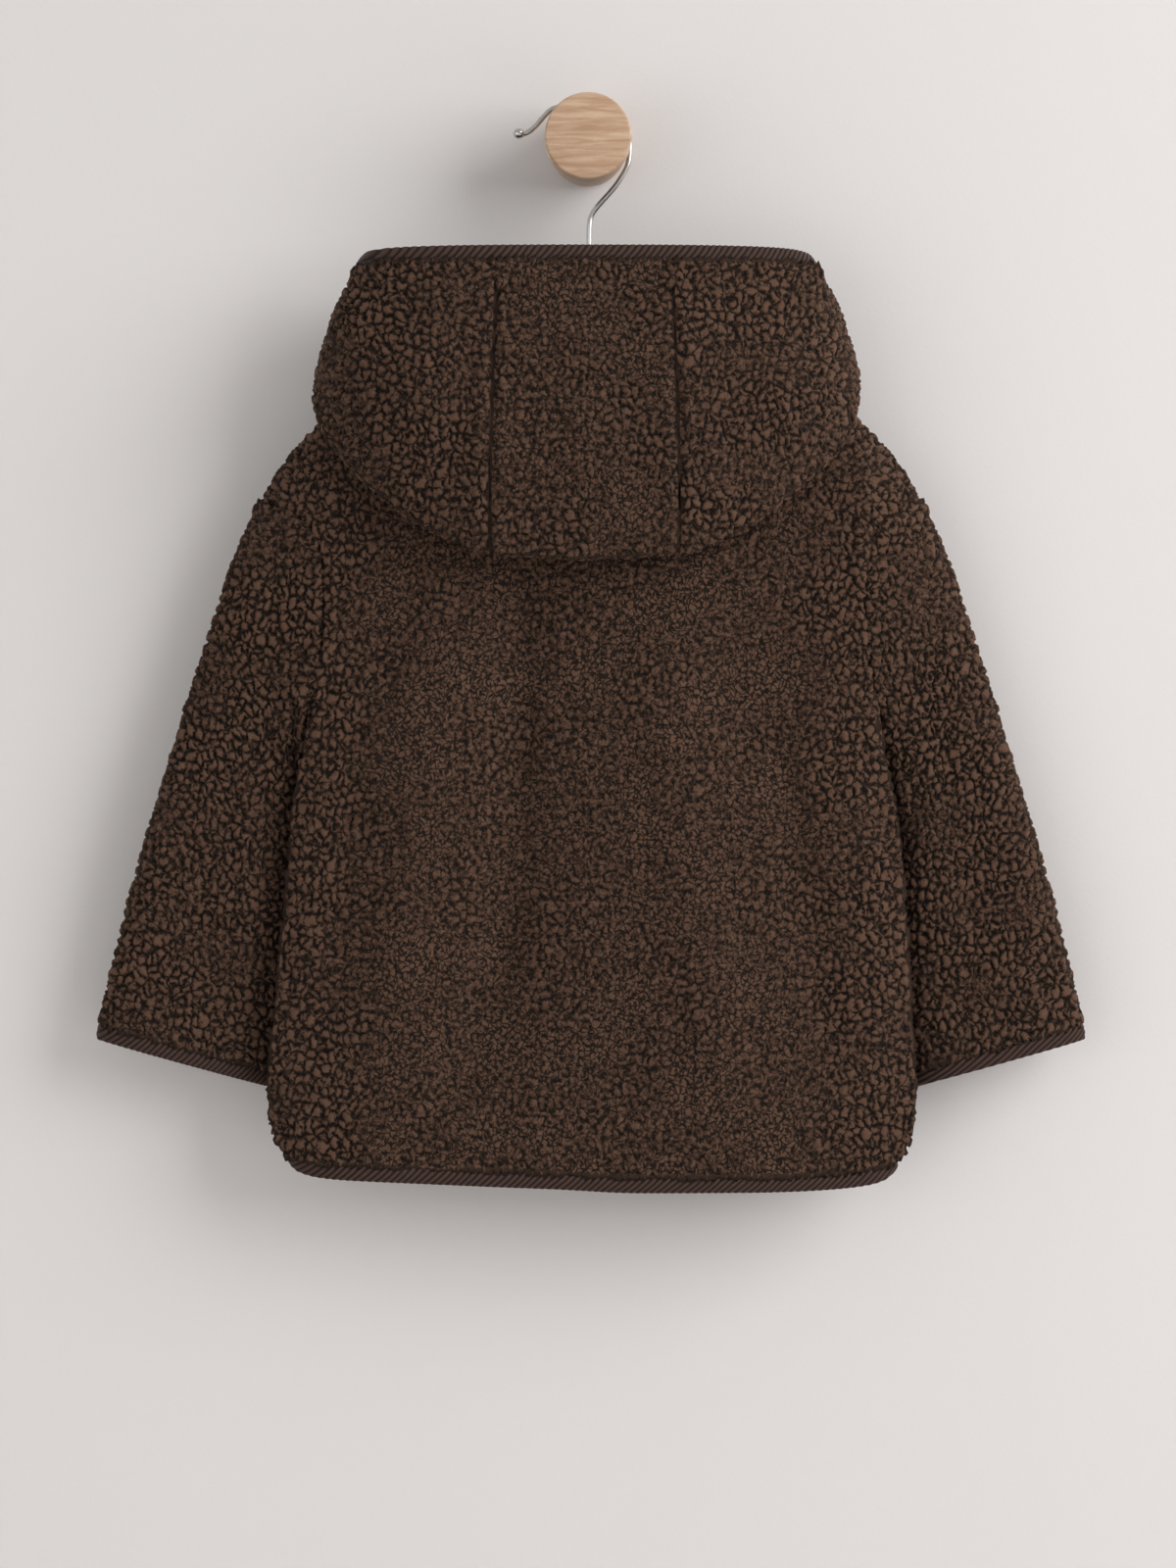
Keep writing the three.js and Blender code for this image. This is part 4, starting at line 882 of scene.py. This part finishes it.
@dataclass
class Jacket:
    """The cloth panels of the jacket."""

    def panels(self) -> list[PilePanel]:
        """Lists the panels, each with a point on its outer side in millimetres and its cut in metres."""
        rear = (-1.0, -34 * MM)
        cuff = (-1.0, -0.43)
        rim = (-84 * MM, 1.0)
        return [
            PilePanel("back", (0, -67, -380), (0.42, 0.45), 0.152, 0.35, 2.05 * MM, loose_from=105 * MM,
                      creases=BACK_CREASES),
            PilePanel("front_left", (-80, -14, -380), (0.19, 0.44), 0.068, 0.3, 2.1 * MM,
                      creases=FRONT_LEFT_CREASES, outward=1.0),
            PilePanel("front_right", (80, -14, -380), (0.19, 0.44), 0.068, 0.3, 2.1 * MM,
                      creases=FRONT_RIGHT_CREASES, outward=1.0),
            PilePanel("sleeve_left", (-215, -50, -380), (0.25, 0.3), 0.06, 0.85, 1.6 * MM,
                      creases=SLEEVE_LEFT_CREASES, pressed=rear, bound=cuff),
            PilePanel("sleeve_right", (218, -50, -380), (0.25, 0.3), 0.06, 0.85, 1.6 * MM,
                      creases=SLEEVE_RIGHT_CREASES, pressed=rear, bound=cuff),
            PilePanel("hood_centre", (1.5, -111, -160), (0.1, 0.33), 0.031, 0.45, 1.4 * MM,
                      creases=HOOD_CENTRE_CREASES, bound=rim, spill=1.8 * MM),
            PilePanel("hood_side_left", (-80, -105, -150), (0.16, 0.33), 0.034, 0.8, 1.75 * MM,
                      creases=HOOD_LEFT_CREASES, bound=rim, spill=1.8 * MM),
            PilePanel("hood_side_right", (83, -105, -150), (0.16, 0.33), 0.034, 0.8, 1.75 * MM,
                      creases=HOOD_RIGHT_CREASES, bound=rim, spill=1.8 * MM),
        ]

    def build(self, groups: SharedGroups) -> None:
        """Builds every panel.

        Args:
            groups: The shared shader groups.
        """
        tufts = pile_growth_group()
        finishes = [PileFinish().material(groups), BackingFinish().material(groups)]
        for panel in self.panels():
            panel.build(tufts, finishes)


def store_rib_phase(piece: bpy.types.Object, pitch: float) -> np.ndarray:
    """Counts slanting ribs across a piece in the wall's plane, and keeps the count for its material.

    Args:
        piece: The mesh object.
        pitch: The ribs' distance along the run, in metres.

    Returns:
        The count at every vertex, which rises by one for each rib.
    """
    points = vertex_table(piece, "co")
    along = points[:, 0] - points[:, 2] + RIB_SLANT * points[:, 1]
    sway = sum(share * np.sin(points[:, axis] * turn + start) for axis, share, turn, start in RIB_SWAY)
    phase = along / pitch + sway
    store_vertex_values(piece, RIB_PHASE, phase)
    return phase


@dataclass
class Binding:
    """Ribbed bias binding folded over a cloth edge."""

    node: str
    pitch: float = 3.75 * MM
    relief: float = 0.55 * MM
    growth: float = 0.55 * MM

    def build(self, finish: bpy.types.Material) -> None:
        """Makes the strip with its ribs standing out.

        Args:
            finish: The binding's material.
        """
        piece = copy_of_node(self.node, f"{self.node}_tape")
        piece.data.materials.append(finish)
        fatten(piece, self.growth)
        crease_sharp_edges(piece, 70, 0.4)
        apply_modifier(piece, "SUBSURF", levels=2, render_levels=2)
        refine(piece, 0.95 * MM)
        phase = store_rib_phase(piece, self.pitch)
        points = vertex_table(piece, "co")
        normals = vertex_table(piece, "normal")
        rise = self.relief * (np.sqrt(0.5 + 0.5 * np.sin(2 * math.pi * phase)) - 0.7)
        set_points(piece, points + normals * rise[:, None])
        piece.data.shade_smooth()
        declare(piece, self.node)


@dataclass
class Hanger:
    """The hanger's wooden bar and wire hook."""

    wire_growth: float = 0.13 * MM

    def build(self, groups: SharedGroups) -> None:
        """Builds the bar and the hook.

        Args:
            groups: The shared shader groups.
        """
        bar = copy_of_node("hanger_bar", "hanger_bar_wood")
        apply_modifier(bar, "SUBSURF", levels=2, render_levels=2)
        wood = WoodFinish("hanger_wood", colour(214, 184, 146), colour(178, 142, 102))
        bar.data.materials.append(wood.material(groups))
        hook = copy_of_node("hanger_hook", "hanger_hook_wire")
        crease_sharp_edges(hook, 80)
        apply_modifier(hook, "SUBSURF", levels=2, render_levels=2)
        fatten(hook, self.wire_growth)
        steel = MetalFinish("hook_steel", colour(205, 205, 204), 0.22)
        hook.data.materials.append(steel.material(groups))
        for piece, node, slot in ((bar, "hanger_bar", "wood"), (hook, "hanger_hook", "wire")):
            piece.data.shade_smooth()
            declare(piece, node)


@dataclass
class Knob:
    """The turned wooden wall knob."""

    segments: int = 96
    edge: float = 1.4 * MM
    head_depth: float = 17 * MM
    neck_share: float = 20.6 / 23.1

    def build(self, groups: SharedGroups) -> None:
        """Turns the knob round its axis and finishes it.

        Args:
            groups: The shared shader groups.
        """
        low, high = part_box("wall_knob")
        head = (high[0] - low[0]) / 2
        depth = -low[1]
        deselect_all()
        bpy.ops.mesh.primitive_cylinder_add(
            vertices=self.segments, radius=head, depth=depth, location=(0, -depth / 2, 0),
            rotation=(math.pi / 2, 0, 0))
        piece = bpy.context.object
        piece.name = "wall_knob_wood"
        bpy.ops.object.transform_apply(location=True, rotation=True, scale=True)
        self._narrow_neck(piece, depth)
        apply_modifier(
            piece, "BEVEL", width=self.edge, segments=4, limit_method="ANGLE", angle_limit=math.radians(50))
        make_active(piece)
        bpy.ops.object.shade_smooth_by_angle(angle=math.radians(40))
        wood = WoodFinish("knob_wood", colour(198, 170, 144), colour(168, 134, 106), band_size=2.4 * MM)
        piece.data.materials.clear()
        piece.data.materials.append(wood.material(groups))
        declare(piece, "wall_knob")

    def _narrow_neck(self, piece: bpy.types.Object, depth: float) -> None:
        """Cuts the neck behind the head and draws it in."""
        step = 0.05 * MM
        margin = 0.02 * MM
        bpy.ops.object.mode_set(mode="EDIT")
        bpy.ops.mesh.select_all(action="SELECT")
        shoulder = -(depth - self.head_depth)
        bpy.ops.mesh.bisect(plane_co=(0, shoulder, 0), plane_no=(0, 1, 0))
        bpy.ops.mesh.select_all(action="SELECT")
        bpy.ops.mesh.bisect(plane_co=(0, shoulder + step, 0), plane_no=(0, 1, 0))
        mesh = bmesh.from_edit_mesh(piece.data)
        for vertex in mesh.verts:
            vertex.select_set(vertex.co.y > shoulder + margin)
        mesh.select_flush(True)
        bmesh.update_edit_mesh(piece.data)
        bpy.ops.transform.resize(value=(self.neck_share, 1, self.neck_share), center_override=(0, 0, 0))
        bpy.ops.object.mode_set(mode="OBJECT")


@dataclass
class Zip:
    """The zip down the front: tapes, teeth, box, slider and pull tab."""

    pitch: float = 2.5 * MM
    tooth: tuple[float, float, float] = (3.4 * MM, 2.4 * MM, 1.15 * MM)
    tooth_tip: tuple[float, float, float] = (1, 0.7, 0.85)
    weave: float = 1.1 * MM

    def build(self, groups: SharedGroups) -> None:
        """Builds every piece of the zip.

        Args:
            groups: The shared shader groups.
        """
        # The tape's second colour is painted shade in the grooves of its weave.
        tape = BindingFinish("zip_tape_weave", colour(48, 34, 29), colour(30, 21, 18), 0.15 * MM)
        tape_material = tape.material(groups)
        teeth = PlainFinish("zip_teeth", colour(52, 38, 32), colour(40, 29, 25), 0.45)
        teeth_material = teeth.material(groups)
        metal = MetalFinish("zip_metal", colour(170, 166, 160), 0.35).material(groups)
        for side in Side:
            self._edged(f"zip_tape_{side.name.lower()}", tape_material, 0.3 * MM, BODY)
        self._edged("zip_box", teeth_material, 0.4 * MM, BODY)
        self._edged("zip_slider", metal, 0.35 * MM, BODY)
        self._edged("zip_pull", metal, 0.3 * MM, PULL_BODY)
        self._teeth(teeth_material)

    def _edged(self, node: str, finish: bpy.types.Material, edge: float, body: str) -> None:
        """Makes a piece from its node with rounded edges.

        Args:
            node: The CAD node.
            finish: The material.
            edge: The width of the rounding.
            body: The body it rides on.
        """
        piece = copy_of_node(node, f"{node}_finished")
        apply_modifier(
            piece, "BEVEL", width=edge, segments=3, limit_method="ANGLE", angle_limit=math.radians(30))
        store_rib_phase(piece, self.weave)
        make_active(piece)
        bpy.ops.object.shade_smooth_by_angle(angle=math.radians(35))
        piece.data.materials.append(finish)
        declare(piece, node, body)

    def _teeth(self, finish: bpy.types.Material) -> None:
        """Makes both rows of teeth along the chain, each row half a pitch from the other."""
        low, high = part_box("zip_chain")
        rows = []
        count = int((high[2] - low[2]) / self.pitch)
        middle = (low[0] + high[0]) / 2
        for side in Side:
            deselect_all()
            start = low[2] + self.tooth[2] / 2 + (self.pitch / 2 if side is Side.RIGHT else 0)
            reach = (high[0] - low[0]) / 2 - self.tooth[0] / 2
            bpy.ops.mesh.primitive_cube_add(
                size=1, location=(middle + side.value * reach, (low[1] + high[1]) / 2, start),
                scale=self.tooth)
            row = bpy.context.object
            bpy.ops.object.transform_apply(location=True, rotation=True, scale=True)
            self._shape_tooth(row, middle, side)
            apply_modifier(row, "BEVEL", width=0.25 * MM, segments=1)
            apply_modifier(
                row, "ARRAY", count=count, use_relative_offset=False, use_constant_offset=True,
                constant_offset_displace=(0, 0, self.pitch))
            rows.append(row)
        deselect_all()
        for row in rows:
            row.select_set(True)
        bpy.context.view_layer.objects.active = rows[0]
        bpy.ops.object.join()
        piece = rows[0]
        piece.name = "zip_teeth"
        piece.data.materials.append(finish)
        declare(piece, "zip_chain")

    def _shape_tooth(self, row: bpy.types.Object, middle: float, side: Side) -> None:
        """Narrows a tooth's inner end, so that it meshes with the other row's."""
        bpy.ops.object.mode_set(mode="EDIT")
        mesh = bmesh.from_edit_mesh(row.data)
        for vertex in mesh.verts:
            vertex.select_set((vertex.co.x - middle) * side.value < 0)
        mesh.select_flush(True)
        bmesh.update_edit_mesh(row.data)
        bpy.ops.transform.resize(value=self.tooth_tip)
        bpy.ops.object.mode_set(mode="OBJECT")


@dataclass
class Stage:
    """Wall, floor, lights and camera."""

    camera_distance: float = 3.0
    frame_height: float = 840 * MM
    garment_plane: float = -35 * MM
    frame_centre: float = -344.4 * MM
    floor_level: float = -1.05
    wall_gap: float = 0.5 * MM
    wall_middle: float = 0.6
    wall_size: tuple[float, float, float] = (7, 3.3, 1)
    wall_tones: tuple = ((0.68, 0.67, 0.674, 1), (0.70, 0.69, 0.693, 1))

    def build(self, groups: SharedGroups) -> None:
        """Builds the stage.

        Args:
            groups: The shared shader groups.
        """
        self._camera()
        self._lights()
        self._world()
        self._wall(groups)
        self._floor(groups)

    def _camera(self) -> None:
        """Places the camera square to the wall at the photo's framing."""
        data = bpy.data.cameras.new("photo_camera")
        data.sensor_fit = "VERTICAL"
        data.sensor_height = 36
        data.lens = data.sensor_height * self.camera_distance / self.frame_height
        data.clip_end = 30
        camera = bpy.data.objects.new("photo_camera", data)
        camera.location = (0, self.garment_plane - self.camera_distance, self.frame_centre)
        camera.rotation_euler = (math.pi / 2, 0, 0)
        bpy.context.scene.collection.objects.link(camera)
        bpy.context.scene.camera = camera

    @staticmethod
    def _area(name: str, place: tuple, size: float, power: float) -> None:
        """Adds a square area light that faces the jacket's middle.

        Args:
            name: The light's name.
            place: Its place in metres.
            size: Its side in metres.
            power: Its power in watts.
        """
        data = bpy.data.lights.new(name, "AREA")
        data.size = size
        data.energy = power
        data.color = LAMP_TINT
        light = bpy.data.objects.new(name, data)
        light.location = place
        aim = Vector((0, 0, -0.3)) - Vector(place)
        light.rotation_euler = aim.to_track_quat("-Z", "Y").to_euler()
        bpy.context.scene.collection.objects.link(light)

    def _lights(self) -> None:
        """Adds a soft key from the upper right, a fill, and two dim lights for the views from behind."""
        self._area("key", (2.3, -1.8, 0.75), 2.2, 72)
        self._area("fill", (-1.6, -2.4, -0.9), 2.4, 22)
        self._area("back_right", (1.6, 2.2, 0.9), 1.5, 30)
        self._area("back_left", (-1.6, 2.2, 0.4), 1.5, 18)

    @staticmethod
    def _world() -> None:
        """Gives the scene a pale even surround."""
        world = bpy.data.worlds.new("surround")
        world.use_nodes = True
        ground = world.node_tree.nodes["Background"]
        ground.inputs["Color"].default_value = (0.93, 0.9, 0.88, 1)
        ground.inputs["Strength"].default_value = 0.56
        bpy.context.scene.world = world

    def _wall(self, groups: SharedGroups) -> None:
        """Adds a plain wall that is clear from behind and casts no shadow."""
        deselect_all()
        bpy.ops.mesh.primitive_plane_add(
            size=1, location=(0, self.wall_gap, self.wall_middle), rotation=(math.pi / 2, 0, 0))
        wall = bpy.context.object
        wall.name = "stage_wall"
        wall.scale = self.wall_size
        bpy.ops.object.transform_apply(location=True, rotation=True, scale=True)
        wall.visible_shadow = False
        dressing = Dressing("stage_wall", 0.9)
        mottle = dressing.group(groups.mottle, patch=1.5, fine=420.0)
        dressing.paint(dressing.sheet.mixed(mottle.outputs["Patches"], *self.wall_tones))
        dressing.bump(mottle.outputs["Height"], 0.25 * MM, 0.25)
        clear = dressing.sheet.add("ShaderNodeBsdfTransparent")
        behind = dressing.sheet.add("ShaderNodeNewGeometry").outputs["Backfacing"]
        shaders = {0: behind, 1: dressing.shader.outputs[0], 2: clear.outputs[0]}
        either = dressing.sheet.add("ShaderNodeMixShader", shaders)
        output = dressing.material.node_tree.nodes["Material Output"]
        dressing.sheet.tree.links.new(either.outputs[0], output.inputs["Surface"])
        wall.data.materials.append(dressing.material)

    def _floor(self, groups: SharedGroups) -> None:
        """Adds a plain pale floor well below the jacket."""
        deselect_all()
        bpy.ops.mesh.primitive_plane_add(size=8, location=(0, 0, self.floor_level))
        floor = bpy.context.object
        floor.name = "stage_floor"
        bpy.ops.object.transform_apply(location=True, rotation=True, scale=True)
        plain = PlainFinish("stage_floor", (0.66, 0.64, 0.62, 1), (0.69, 0.67, 0.65, 1), 0.8)
        floor.data.materials.append(plain.material(groups))


def main() -> None:
    """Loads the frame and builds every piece."""
    logging.basicConfig(level=logging.INFO, format="%(name)s %(message)s")
    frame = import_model()
    LOG.info("frame loaded: %s", type(frame).__name__)
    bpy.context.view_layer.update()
    bpy.context.scene.view_settings.view_transform = "Standard"
    groups = SharedGroups()
    Stage().build(groups)
    Jacket().build(groups)
    binding = BindingFinish("binding_rib", colour(70, 50, 43), colour(18, 11, 9)).material(groups)
    for node in ("hem_binding", "hood_binding", "cuff_binding_left", "cuff_binding_right"):
        Binding(node).build(binding)
    Zip().build(groups)
    Hanger().build(groups)
    Knob().build(groups)
    deselect_all()


if __name__ == "__main__":
    main()
